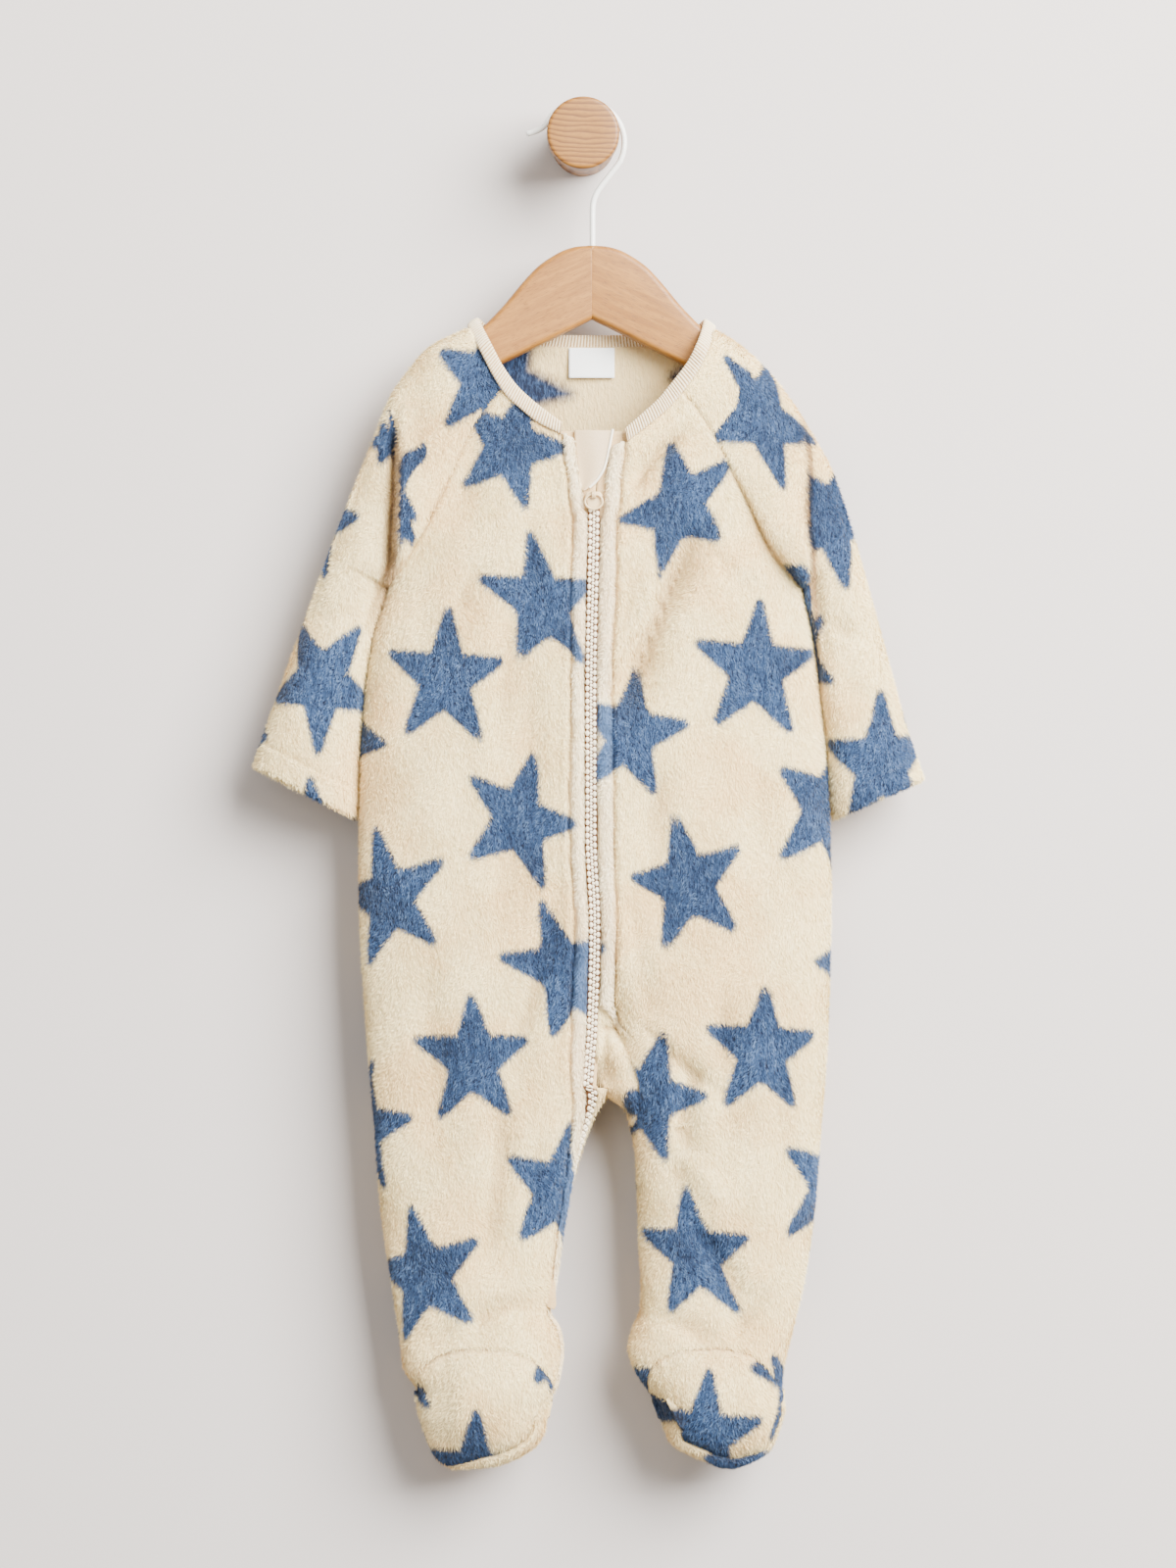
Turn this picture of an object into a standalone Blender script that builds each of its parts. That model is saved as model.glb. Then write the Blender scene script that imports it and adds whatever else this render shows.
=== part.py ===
# Footed baby sleepsuit in coral fleece, hung on a wooden hanger from a round wall peg.
# Metres, +Z up. The wall is the plane Y = 0 and the garment hangs in front of it, at -Y, so +X is
# to the right of someone who looks at it. "right" and "left" name the wearer's own sides: the
# wearer's right is at -X. The origin is the centre of the peg's back face.
import functools
import math

import bmesh
import bpy
import numpy as np
from mathutils import Vector

MM = 0.001

# Driving dimensions, in millimetres.
GAP = 0.3                 # between neighbouring pieces
SEAM = 0.25               # each cloth edge stops this far from its seam line
FLEECE = 2.4              # wall of the fleece
HANG_Y = -34.0            # plane of the hanger, the wire and the garment's side seams
ROUNDNESS = 2.4           # exponent of a flattened cloth section
UNDERARM_Z = -250.0
CROTCH_X, CROTCH_Z = 17.8, -525.4
LEG_BLEND_Z = -430.0      # above this the body is one tube, at the crotch it is two
ANKLE_Z = -610.0          # below this the rows bend towards the foot seam
NOTCH_Z = -692.5          # where foot top, sole and leg meet at the foot's sides
CHAIN_WIDTH, CHAIN_THICK = 6.8, 2.0
TAPE_DEEP, TAPE_THICK = 3.2, 0.8       # below the fleece's outer side
ZIP_TOP_Z, SLIDER_Z, ZIP_END_Z = -163.0, -202.3, -640.0
SLIDER_WIDTH, SLIDER_HIGH, SLIDER_THICK = 9.4, 9.2, 3.6
RIB_THICK = 2.6
SOLE_RIM = 6.0            # width of the sole that shows in front of the toe
HANGER_X, HANGER_THICK = 4.9, 12.0
WIRE_RADIUS = 1.6
HOOK_RADIUS, HOOK_DROP = 22.8, 3.2     # the wire's round part, and its centre below the peg's
PEG_HEAD_RADIUS, PEG_SHANK_RADIUS = 20.0, 17.7
PEG_LENGTH, PEG_HEAD_THICK = 54.0, 13.0
LABEL_WIDE, LABEL_HIGH, LABEL_THICK = 25.4, 16.7, 0.5


def columns(names, rows):
    """A short table: column name to the list of its values."""
    return {name: [row[i] for row in rows] for i, name in enumerate(names.split())}


# Outline and depth of the body, one row for each height. side_r and side_l are the side seams,
# front and back the cloth's reach before and behind HANG_Y.
BODY = columns("z side_r side_l front back", [
    (-100, -80, 90, 15, 11), (-140, -92, 103, 19, 15), (-190, -101, 113, 22, 19),
    (-225, -106, 119, 24, 21), (-250, -108, 121, 25, 22), (-277, -115.5, 126.4, 26, 22),
    (-315, -121, 131.2, 27, 22), (-358, -123, 135, 28, 22), (-412, -123.7, 136.9, 28, 22),
    (-493, -119.5, 135, 26, 21), (-547, -115, 131.2, 23, 19), (-590, -111.8, 128, 22, 18),
    (-628, -106.4, 122.6, 21, 18), (-660, -101.5, 115.5, 22, 20), (-681, -98.8, 110.5, 24, 21),
    (-693, -91.5, 109.5, 25, 20), (-703, -91.5, 111, 24, 18), (-716, -87.7, 107.6, 20, 14),
    (-726, -84, 103, 14, 9), (-732.5, -79.8, 93, 8.5, 5), (-736, -73, 84, 3.5, 2.5)])
# Inner edge of each leg and foot.
INNER = columns("z leg_r leg_l", [
    (-525.4, 17.8, 17.8), (-540, 7, 24), (-563, -1.5, 29.2), (-579, -5.4, 30),
    (-606, -10.8, 31), (-639, -16.2, 32.4), (-649.6, -18.6, 31.5), (-659, -13.4, 27.7),
    (-669, -11.6, 25.2), (-680, -12.7, 28), (-692, -15.6, 35.5), (-702.6, -19.9, 41.7),
    (-716, -21.6, 45.6), (-722.5, -25.2, 49), (-728, -32, 58), (-732.5, -41, 68.5),
    (-736, -53, 76)])
TOE_Z = -736.0
# Where the zip's centre runs down the front, then how far it lies from the leg's innermost line.
ZIP_X = columns("z x", [
    (-163, 5.9), (-207, 5.9), (-304, 4.3), (-385, 4.3), (-434, 6.3), (-493, 7), (-526, 4)])
ZIP_FROM_INNER = columns("z arc", [(-526, 0), (-550, 11), (-574, 5), (-606, 0), (-650, -3)])
# Edges of the open V above the slider.
ZIP_OPENING = columns("z right left", [
    (-163, -5.4, 16.8), (-182, -3, 13.9), (-196, -0.6, 12.2), (-207, 0.3, 11.7),
    (-212, 1.9, 10.1)])
# Raglan seams, from the neckline to the underarm.
RAGLAN_FRONT = columns("z right left", [
    (-141, -46, 54.4), (-158.2, -58.9, 67.2), (-170.6, -65.3, 74.3), (-191.2, -74, 84.4),
    (-205.7, -81, 91.8), (-220.3, -89.1, 99), (-232.7, -97.2, 106.4), (-250, -108, 121)])
RAGLAN_BACK = columns("z right left", [
    (-112.5, -50, 60), (-140, -62, 72), (-170, -74, 84), (-200, -87, 98), (-225, -98, 110),
    (-250, -108, 121)])
# Neckline: the seam line and the opening edge of the rib, from the zip round the right shoulder.
NECK_RIGHT = columns("x z rib_x rib_z", [
    (-11.7, -165.6, -11.6, -159.4), (-24.7, -159, -20.1, -153.2), (-34, -151.6, -28.5, -146.5),
    (-42.4, -143.6, -36.8, -138.4), (-49.8, -132, -44.6, -127.2), (-56.3, -119, -51, -114.6),
    (-62.5, -105.8, -56.8, -101.9)])
NECK_LEFT = columns("x z rib_x rib_z", [
    (24.1, -169.4, 23.2, -162.6), (33.9, -161.8, 30.6, -156), (44.1, -153.4, 40, -147.6),
    (51.2, -146.2, 46.2, -140.4), (62.4, -131.1, 57, -126.3), (68, -119, 62.6, -114.6),
    (72, -106.6, 66, -102.6)])
NECK_BACK = columns("x z rib_x rib_z", [
    (-50, -112.5, -47, -106.2), (-30, -114.6, -29, -108), (5, -115.4, 5, -108.8),
    (40, -114.6, 39, -108), (60, -112.5, 57, -106.2)])
# Outer line of each sleeve, shoulder to cuff. The first rows follow the raglan seam.
SLEEVE = {
    "right": {
        "shoulder": [(-62.5, -105.8), (-72, -110), (-84.5, -116.5), (-96, -129.5),
                     (-106, -143.5), (-115, -166), (-127, -196), (-140.9, -232.2)],
        "arm": [(-140.9, -232.2), (-153, -265.5), (-164.9, -298.6), (-174, -323.4),
                (-182.3, -347)],
        "cuff_inner": (-125.0, -376.0)},
    "left": {
        "shoulder": [(72, -106.6), (84.8, -114.5), (99.9, -128), (111, -141), (119, -153),
                     (129.5, -170), (138.5, -187.5), (150.8, -226)],
        "arm": [(150.8, -226), (157.8, -251), (165, -277), (178.4, -325.6), (188.2, -354)],
        "cuff_inner": (138.2, -376.0)}}
SLEEVE_FRONT, SLEEVE_BACK = 18.0, 15.0
SLEEVE_SET_BACK = 5.0     # the cuff's plane lies this much nearer the wall than HANG_Y
# Largest folds of the cloth: soft troughs along a line, depth into the garment.
FOLDS_FRONT = columns("x1 z1 x2 z2 width depth", [
    (57, -228, 24, -304, 11, 4.0), (44, -163, 27, -186, 6, 1.6), (-42, -270, -40, -440, 12, 2.2),
    (-88, -250, -96, -330, 10, 2.5), (96, -300, 104, -420, 12, 2.2), (60, -520, 50, -575, 10, 3.0),
    (-44, -545, -50, -620, 10, 2.2), (62, -600, 88, -650, 9, 2.5), (24, -480, 34, -535, 5, 4.0)])
FOLDS_BACK = columns("x1 z1 x2 z2 width depth", [
    (-40, -230, -22, -330, 12, 3.5), (62, -250, 40, -360, 12, 3.0), (8, -360, 12, -480, 10, 2.5),
    (-70, -430, -50, -520, 11, 3.0), (84, -440, 70, -530, 11, 3.0), (-66, -590, -60, -650, 9, 2.5),
    (74, -590, 80, -650, 9, 2.5)])
# Hanger: the top edge of one half against the distance from the glue joint.
HANGER_TOP = columns("dx z", [
    (0, -60.4), (7.4, -60.9), (14.9, -62.8), (21.6, -66.2), (29.8, -71.9), (36, -78.2),
    (42.8, -86.2), (48.3, -92.9), (53, -98), (60, -105), (67, -111), (75, -117.2),
    (82, -122.2), (89, -129.4)])
HANGER_UNDER_Z, HANGER_UNDER_SLOPE, HANGER_TIP_DX = -101.0, 0.5, 97.0

COLLECTION = "footed baby sleepsuit"


# ---------------------------------------------------------------- interpolation and sections

def smooth(table, column, at, key="z"):
    """A monotone cubic through one column of a table, read at a value of its key column."""
    xs, ys = np.array(table[key], float), np.array(table[column], float)
    if xs[0] > xs[-1]:
        xs, ys = xs[::-1], ys[::-1]
    at = min(max(at, xs[0]), xs[-1])
    i = min(max(int(np.searchsorted(xs, at)) - 1, 0), len(xs) - 2)
    width = np.diff(xs)
    rise = np.diff(ys) / width
    slopes = np.concatenate([[rise[0]], np.zeros(len(xs) - 2), [rise[-1]]])
    for k in range(1, len(xs) - 1):
        if rise[k - 1] * rise[k] > 0:
            slopes[k] = 2 * rise[k - 1] * rise[k] / (rise[k - 1] + rise[k])
    t = (at - xs[i]) / width[i]
    return float(
        (2 * t**3 - 3 * t**2 + 1) * ys[i] + (t**3 - 2 * t**2 + t) * width[i] * slopes[i]
        + (3 * t**2 - 2 * t**3) * ys[i + 1] + (t**3 - t**2) * width[i] * slopes[i + 1])


def along(points, share):
    """The point at a share of a polyline's length."""
    points = np.array(points, float)
    run = np.concatenate([[0], np.cumsum(np.linalg.norm(np.diff(points, axis=0), axis=1))])
    at = share * run[-1]
    return np.array([np.interp(at, run, points[:, i]) for i in range(points.shape[1])])


def section(t, power=ROUNDNESS):
    """Share of the full depth at t, from -1 to 1 across a flattened tube."""
    return max(0.0, 1 - abs(t) ** power) ** (1 / power)


def ease(value, low, high):
    t = min(max((value - low) / (high - low), 0.0), 1.0)
    return t * t * (3 - 2 * t)


@functools.lru_cache(maxsize=None)
def side_x(side, z):
    return smooth(BODY, "side_r" if side == "right" else "side_l", z)


@functools.lru_cache(maxsize=None)
def inner_x(side, z):
    return smooth(INNER, "leg_r" if side == "right" else "leg_l", min(z, CROTCH_Z))


def depth_share(x, z):
    """Share of the body's depth at a point of its outline: one tube that turns into two legs."""
    right, left = side_x("right", z), side_x("left", z)
    legs = ease(-z, -LEG_BLEND_Z, -CROTCH_Z)
    body = section((2 * x - right - left) / (left - right)) if legs < 1 else 0.0
    if legs == 0:
        return body
    side = "right" if x <= CROTCH_X else "left"
    outer, inner = side_x(side, z), inner_x(side, z)
    return (1 - legs) * body + legs * section((2 * x - outer - inner) / abs(inner - outer))


def fold_depth(folds, x, z):
    total = 0.0
    for x1, z1, x2, z2, width, depth in zip(*(folds[name] for name in folds)):
        run = np.array([x2 - x1, z2 - z1])
        t = ((x - x1) * run[0] + (z - z1) * run[1]) / (run @ run)
        near = np.array([x1, z1]) + min(max(t, 0), 1) * run
        away = math.hypot(x - near[0], z - near[1]) / width
        total += depth * math.exp(-away * away)
    return total


@functools.lru_cache(maxsize=None)
def body_depth(side, z):
    return smooth(BODY, side, z)


def front_y(x, z):
    share = depth_share(x, z)
    deep = body_depth("front", z)
    return HANG_Y - deep * share + fold_depth(FOLDS_FRONT, x, z) * min(share, 1.0) ** 3


def back_y(x, z):
    share = depth_share(x, z)
    deep = body_depth("back", z)
    return HANG_Y + deep * share - fold_depth(FOLDS_BACK, x, z) * min(share, 1.0) ** 3


@functools.lru_cache(maxsize=None)
def ring(z, samples=160):
    """The cloth's section at one height, as points (x, y), from the right side seam: across the
    front of the body, or right round the right leg."""
    turn = (1 - np.cos(np.linspace(0, math.pi, samples))) / 2
    outer = side_x("right", z)
    if z > CROTCH_Z:
        xs = outer + (side_x("left", z) - outer) * turn
        return np.array([(x, front_y(x, z)) for x in xs]), None
    xs = outer + (inner_x("right", z) - outer) * turn
    front = [(x, front_y(x, z)) for x in xs]
    back = [(x, back_y(x, z)) for x in xs[::-1]]
    return np.array(front + back[1:]), samples - 1


@functools.lru_cache(maxsize=None)
def zip_arc(z):
    """The section at one height with its running length, and the length at the zip's centre."""
    points, innermost = ring(z)
    run = np.concatenate([[0], np.cumsum(np.linalg.norm(np.diff(points, axis=0), axis=1))])
    if innermost is None:
        return points, run, float(np.interp(smooth(ZIP_X, "x", z), points[:, 0], run))
    if z > ZIP_FROM_INNER["z"][1]:
        top_points, top_run, top_at = zip_arc(CROTCH_Z + 0.01)
        top = float(np.interp(CROTCH_X, top_points[:, 0], top_run)) - top_at
        t = (z - CROTCH_Z) / (ZIP_FROM_INNER["z"][1] - CROTCH_Z)
        return points, run, run[innermost] - (top + t * (ZIP_FROM_INNER["arc"][1] - top))
    return points, run, run[innermost] - smooth(ZIP_FROM_INNER, "arc", z)


def zip_point(z, across, inset):
    """A point beside the zip's centre line, across the cloth to the left, and inset into it."""
    points, run, centre = zip_arc(z)
    at = centre + across
    x, y = (float(np.interp(at, run, points[:, i])) for i in (0, 1))
    ahead = [float(np.interp(at + 2, run, points[:, i])) for i in (0, 1)]
    behind = [float(np.interp(at - 2, run, points[:, i])) for i in (0, 1)]
    run_x, run_y = ahead[0] - behind[0], ahead[1] - behind[1]
    size = math.hypot(run_x, run_y)
    return (x - run_y / size * inset, y + run_x / size * inset, z)


# ---------------------------------------------------------------- objects

def clear_scene():
    for ob in list(bpy.data.objects):
        bpy.data.objects.remove(ob, do_unlink=True)
    main = bpy.data.collections.new(COLLECTION)
    cutters = bpy.data.collections.new("cutters")
    for group in (main, cutters):
        bpy.context.scene.collection.children.link(group)
    return main, cutters


def material(name, colour, roughness, metallic=0.0):
    made = bpy.data.materials.get(name)
    if made is None:
        made = bpy.data.materials.new(name)
        made.use_nodes = True
        shader = made.node_tree.nodes["Principled BSDF"]
        shader.inputs["Base Color"].default_value = (*colour, 1)
        shader.inputs["Roughness"].default_value = roughness
        shader.inputs["Metallic"].default_value = metallic
        made.diffuse_color = (*colour, 1)
    return made


def add_object(name, bm, group, finish, smooth_angle=None):
    mesh = bpy.data.meshes.new(name)
    bm.to_mesh(mesh)
    bm.free()
    mesh.materials.append(finish)
    ob = bpy.data.objects.new(name, mesh)
    group.objects.link(ob)
    if smooth_angle:
        mesh.shade_smooth()
        mesh.set_sharp_from_angle(angle=math.radians(smooth_angle))
    return ob


def fleece():
    return material("fleece", (0.87, 0.78, 0.66), 0.95)


def cloth(name, grids, group, finish, thick=FLEECE, inner_point=None):
    """A cloth wall from grids of points that share their common edges, thickened inwards. Each
    grid's columns run to the wearer's left as seen from the cloth's outer side, its rows down.
    inner_point, if given, takes each outer point to the wall's inner one."""
    bm = bmesh.new()
    for grid in grids:
        made = [[bm.verts.new(Vector(point) * MM) for point in row] for row in grid]
        for upper, lower in zip(made, made[1:]):
            for a, b, c, d in zip(upper, lower, lower[1:], upper[1:]):
                bm.faces.new((a, b, c, d))
    bmesh.ops.remove_doubles(bm, verts=bm.verts, dist=0.00004)
    bmesh.ops.dissolve_degenerate(bm, edges=bm.edges, dist=0.00002)
    if inner_point:
        outer_faces, rim = list(bm.faces), [edge for edge in bm.edges if edge.is_boundary]
        twin = {v: bm.verts.new(inner_point(v.co / MM) * MM) for v in list(bm.verts)}
        for face in outer_faces:
            bm.faces.new([twin[v] for v in reversed(face.verts)])
        for edge in rim:
            a, b = edge.verts
            bm.faces.new((a, b, twin[b], twin[a]))
        bmesh.ops.recalc_face_normals(bm, faces=bm.faces)
        return add_object(name, bm, group, finish, smooth_angle=60)
    ob = add_object(name, bm, group, finish, smooth_angle=60)
    wall = ob.modifiers.new("wall", "SOLIDIFY")
    wall.thickness = thick * MM
    wall.offset = -1
    wall.use_even_offset = True
    return ob


def loft(name, sections, group, finish, smooth_angle=40):
    """A closed solid through sections of equally many points, with a flat cap at each end."""
    bm = bmesh.new()
    rings = [[bm.verts.new(Vector(point) * MM) for point in points] for points in sections]
    for first, second in zip(rings, rings[1:]):
        for i in range(len(first)):
            j = (i + 1) % len(first)
            bm.faces.new((first[i], first[j], second[j], second[i]))
    bm.faces.new(rings[0][::-1])
    bm.faces.new(rings[-1])
    bmesh.ops.recalc_face_normals(bm, faces=bm.faces)
    return add_object(name, bm, group, finish, smooth_angle)


# ---------------------------------------------------------------- fronts and back

def spread(count, legs):
    """Shares across a panel, closer together at the side seam, and on a leg at both edges."""
    turn = np.linspace(0, 1, count)
    return (1 - legs) * (1 - np.cos(turn * math.pi / 2)) + legs * (1 - np.cos(turn * math.pi)) / 2


def foot_seam_z(t):
    """Height of the seam above the foot, at t from -1 to 1 across it."""
    return NOTCH_Z + 24.5 * (1 - abs(t) ** 3)


def heel_seam_z(t):
    return NOTCH_Z + 10 * (1 - t * t)


def coons(top, bottom, left, right):
    """A grid through four edges that meet at their corners: lists of (x, z) points."""
    top, bottom, left, right = (np.array(edge, float) for edge in (top, bottom, left, right))
    rows, count = len(left), len(top)
    grid = np.zeros((rows, count, 2))
    for i in range(rows):
        v = i / (rows - 1)
        for j in range(count):
            u = (top[j, 0] - top[0, 0]) / (top[-1, 0] - top[0, 0]) * (1 - v) + v * (
                (bottom[j, 0] - bottom[0, 0]) / (bottom[-1, 0] - bottom[0, 0]))
            grid[i, j] = (
                (1 - v) * top[j] + v * bottom[j] + (1 - u) * left[i] + u * right[i]
                - (1 - u) * (1 - v) * top[0] - u * (1 - v) * top[-1]
                - (1 - u) * v * bottom[0] - u * v * bottom[-1])
    return grid


YOKE_ROWS = 9             # rows along a raglan seam, shared by a sleeve and its neighbours
FRONT_CORNER = {"right": (-5.2, -167.8), "left": (15.9, -172.0)}
BODY_HEIGHTS = np.linspace(UNDERARM_Z, CROTCH_Z + 0.5, 13)
LEG_HEIGHTS = np.linspace(CROTCH_Z - 0.7, ANKLE_Z, 6)
FOOT_SHARES = (0.2, 0.4, 0.6, 0.8, 0.97, 1.0)
FRONT_COLUMNS, HALF_BACK_COLUMNS = 6, 7
LIP = 1.5                 # at a side seam the cloth first turns straight away from the seam
ZIP_LIPS = (3.0, 9.0)     # columns this far from the zip's edges
ZIP_HALF = CHAIN_WIDTH / 2 + GAP + 0.3


def raglan(table, side, shift):
    """The raglan seam's points at equal shares of its length, moved along X by shift."""
    points = list(zip(table[side], table["z"]))
    return [along(points, share) + (shift, 0) for share in np.linspace(0, 1, YOKE_ROWS)]


def front_edge_x(side, z):
    """The front's zip edge above the crotch."""
    if z > ZIP_OPENING["z"][-1]:
        return smooth(ZIP_OPENING, side, z)
    return smooth(ZIP_X, "x", z) + (ZIP_HALF if side == "left" else -ZIP_HALF)


def off_seam(y, way, least=GAP / 2):
    """A depth kept on its own side of the side seams' plane: way is -1 before it, 1 behind."""
    return HANG_Y + way * max(way * (y - HANG_Y) + GAP / 2, least)


def bent_rows(row, seam_z, outer_x, end_x):
    """Rows from the ankle to the foot, which bend until the last one follows the foot's seam."""
    rows = []
    for v in FOOT_SHARES:
        flat = row(ANKLE_Z)
        line = []
        for j in range(len(flat)):
            z = ANKLE_Z + v * (seam_z(0) - ANKLE_Z)
            for _ in range(3):
                x = row(z)[j][0]
                t = 2 * (x - outer_x(z)) / (end_x(z) - outer_x(z)) - 1
                z = ANKLE_Z + v * (seam_z(min(max(t, -1), 1)) + SEAM - ANKLE_Z)
            line.append(row(z)[j])
        rows.append(line)
    return rows


def front_panel(side, group):
    sign = 1 if side == "left" else -1
    neck = NECK_LEFT if side == "left" else NECK_RIGHT

    def row(z, legs=1.0):
        """Side seam, its lip, the panel, and the flat strip and edge at the zip or inner leg."""
        outer = side_x(side, z)
        if z > CROTCH_Z:
            edge = front_edge_x(side, z)
            if side == "left":
                edge += (CROTCH_X + 0.4 - edge) * ease(-z, 500, -CROTCH_Z)
            flat = edge + sign * ZIP_LIPS[1]
            xs = list(outer + (flat - outer) * spread(FRONT_COLUMNS + 1, legs))
            xs += [edge + sign * ZIP_LIPS[0], edge]
            ys = [front_y(x, z) for x in xs]
        elif side == "left":
            edge = inner_x(side, z)
            xs = list(outer + (edge - outer) * spread(FRONT_COLUMNS + 2, 1.0))
            ys = [off_seam(front_y(x, z), -1, LIP + GAP / 2) for x in xs]
            xs.append(edge)
            ys.append(HANG_Y)
        else:
            points, run, centre = zip_arc(z)
            arcs = [centre - ZIP_HALF - lip for lip in (ZIP_LIPS[1], ZIP_LIPS[0], 0)]
            strip_x = [float(np.interp(at, run, points[:, 0])) for at in arcs]
            strip_y = [float(np.interp(at, run, points[:, 1])) for at in arcs]
            inner = inner_x(side, z)
            last = math.acos(1 - 2 * (strip_x[0] - outer) / (inner - outer)) / math.pi
            turns = (1 - np.cos(np.linspace(0, last, FRONT_COLUMNS + 1) * math.pi)) / 2
            xs = list(outer + (inner - outer) * turns[:-1]) + strip_x
            ys = [front_y(x, z) for x in xs[:-3]] + strip_y
        line = [(outer, off_seam(HANG_Y, -1), z), (outer, off_seam(HANG_Y, -1, LIP + GAP / 2), z)]
        return line + [(x, off_seam(y, -1), z) for x, y in zip(xs[1:], ys[1:])]

    seam = raglan(RAGLAN_FRONT, side, -sign * SEAM)
    seam[0] = seam[0] + (-sign * 0.2, -0.3)
    neckline = [(x, z - 0.3) for x, z in zip(neck["x"][:4], neck["z"][:4])][::-1]
    corner = FRONT_CORNER[side]
    top_line = [tuple(seam[0])] + neckline[1:] + [corner]
    under = row(UNDERARM_Z, 0.0)
    under[0] = (seam[-1][0], under[0][1] - 0.8, UNDERARM_Z)
    neck_long = sum(math.dist(a, b) for a, b in zip(top_line, top_line[1:]))
    shares = spread(FRONT_COLUMNS + 1, 0.0) * (1 - ZIP_LIPS[1] / neck_long)
    shares = [0, 0.03] + list(shares[1:]) + [1 - ZIP_LIPS[0] / neck_long, 1]
    top = [along(top_line, share) for share in shares]
    bottom = [(x, z) for x, _, z in under]
    bottom[1] = (bottom[0][0] - sign * 1.0, bottom[1][1])
    heights = np.linspace(corner[1], UNDERARM_Z, YOKE_ROWS)
    zip_edge = [corner] + [(front_edge_x(side, z), z) for z in heights[1:]]
    yoke = coons(top, bottom, seam, zip_edge)
    rows = [[(x, off_seam(front_y(x, z), -1), z) for x, z in line] for line in yoke[:-1]]
    rows.append(under)
    body_heights = BODY_HEIGHTS[1:] if side == "left" else BODY_HEIGHTS[1:-1]
    for z in list(body_heights) + list(LEG_HEIGHTS):
        rows.append(row(z, ease(-z, -LEG_BLEND_Z, -CROTCH_Z)))
    rows += bent_rows(row, foot_seam_z, lambda z: side_x(side, z), lambda z: inner_x(side, z))
    if side == "left":
        rows = [line[::-1] for line in rows]
    return cloth(f"front_{side}", [rows], group, fleece())


def back_panel(group):
    """Back and both leg backs in one piece, its columns from the left side seam to the right."""
    half = HALF_BACK_COLUMNS

    def point(x, z, least=GAP / 2):
        return (x, off_seam(back_y(x, z), 1, least), z)

    def body_row(z, left_edge=None, right_edge=None):
        left_edge = left_edge or side_x("left", z)
        right_edge = right_edge or side_x("right", z)
        shares = spread(half + 1, ease(-z, -LEG_BLEND_Z, -CROTCH_Z))
        left = left_edge + (CROTCH_X - left_edge) * shares
        right = right_edge + (CROTCH_X - right_edge) * shares
        line = [point(x, z) for x in list(left) + list(right[-2::-1])]
        if z == CROTCH_Z:
            line[half] = point(CROTCH_X, z, 4.0)
        line[0] = (left_edge, off_seam(HANG_Y, 1, LIP + GAP / 2), z)
        line[-1] = (right_edge, off_seam(HANG_Y, 1, LIP + GAP / 2), z)
        return ([(left_edge, off_seam(HANG_Y, 1), z)] + line
                + [(right_edge, off_seam(HANG_Y, 1), z)])

    left_seam = raglan(RAGLAN_BACK, "left", -SEAM)
    right_seam = raglan(RAGLAN_BACK, "right", SEAM)
    neckline = [tuple(left_seam[0] + (-0.2, -0.3))]
    neckline += list(zip(NECK_BACK["x"], NECK_BACK["z"]))[-2:0:-1]
    neckline += [tuple(right_seam[0] + (0.2, -0.3))]
    left_seam[0], right_seam[0] = np.array(neckline[0]), np.array(neckline[-1])
    under = body_row(UNDERARM_Z, left_seam[-1][0], right_seam[-1][0])
    shares = [0, 0.02] + list(np.linspace(0, 1, 2 * half + 1)[1:-1]) + [0.98, 1]
    top = [along(neckline, share) for share in shares]
    bottom = [(x, z) for x, _, z in under]
    bottom[1] = (bottom[1][0] - 1.0, bottom[1][1])
    bottom[-2] = (bottom[-2][0] + 1.0, bottom[-2][1])
    yoke = coons(top, bottom, left_seam, right_seam)
    rows = [[point(x, z) for x, z in line] for line in yoke[:-1]] + [under]
    rows += [body_row(z) for z in list(BODY_HEIGHTS[1:-1]) + [CROTCH_Z]]

    def left_row(z):
        outer, inner = side_x("left", z), inner_x("left", z)
        xs = outer + (inner - outer) * spread(half + 1, 1.0)
        line = [point(x, z) for x in xs]
        line[0] = (outer, off_seam(HANG_Y, 1, LIP + GAP / 2), z)
        line[-1] = (inner, off_seam(HANG_Y, 1, LIP + GAP / 2), z)
        return [(outer, off_seam(HANG_Y, 1), z)] + line + [(inner, off_seam(HANG_Y, 1), z)]

    def right_row(z):
        """Right leg, from its zip edge round the inner side and across the back."""
        points, run, zip_at = zip_arc(z)
        outer, inner = side_x("right", z), inner_x("right", z)
        start = zip_at + ZIP_HALF + 0.7 * ease(z, -560, -535)
        turn = max(run[(len(points) - 1) // 2] + 0.5, start + ZIP_LIPS[1])
        arcs = (start, start + ZIP_LIPS[0], turn)
        line = [(*(float(np.interp(at, run, points[:, i])) for i in (0, 1)), z) for at in arcs]
        reach = math.acos(2 * (line[-1][0] - outer) / (inner - outer) - 1) / math.pi
        turns = (1 + np.cos(np.linspace(reach, 1, half + 1) * math.pi)) / 2
        line += [point(x, z) for x in outer + (inner - outer) * turns[1:-1]]
        return line + [(outer, off_seam(HANG_Y, 1, LIP + GAP / 2), z),
                       (outer, off_seam(HANG_Y, 1), z)]

    last = rows[-1]
    left_leg = [last[:half + 2] + [(CROTCH_X, off_seam(HANG_Y, 1), CROTCH_Z)]]
    left_leg += [left_row(z) for z in LEG_HEIGHTS]
    left_leg += bent_rows(left_row, heel_seam_z, lambda z: side_x("left", z),
                          lambda z: inner_x("left", z))
    right_leg = [right_row(z) for z in LEG_HEIGHTS]
    right_leg[0][:2] = right_row(CROTCH_Z - 3.0)[:2]
    right_leg += bent_rows(right_row, heel_seam_z, lambda z: side_x("right", z),
                           lambda z: inner_x("right", z))
    join = [last[half + 1:], right_leg[0][2:]]
    return cloth("back", [rows, left_leg, join, right_leg], group, fleece())


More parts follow.
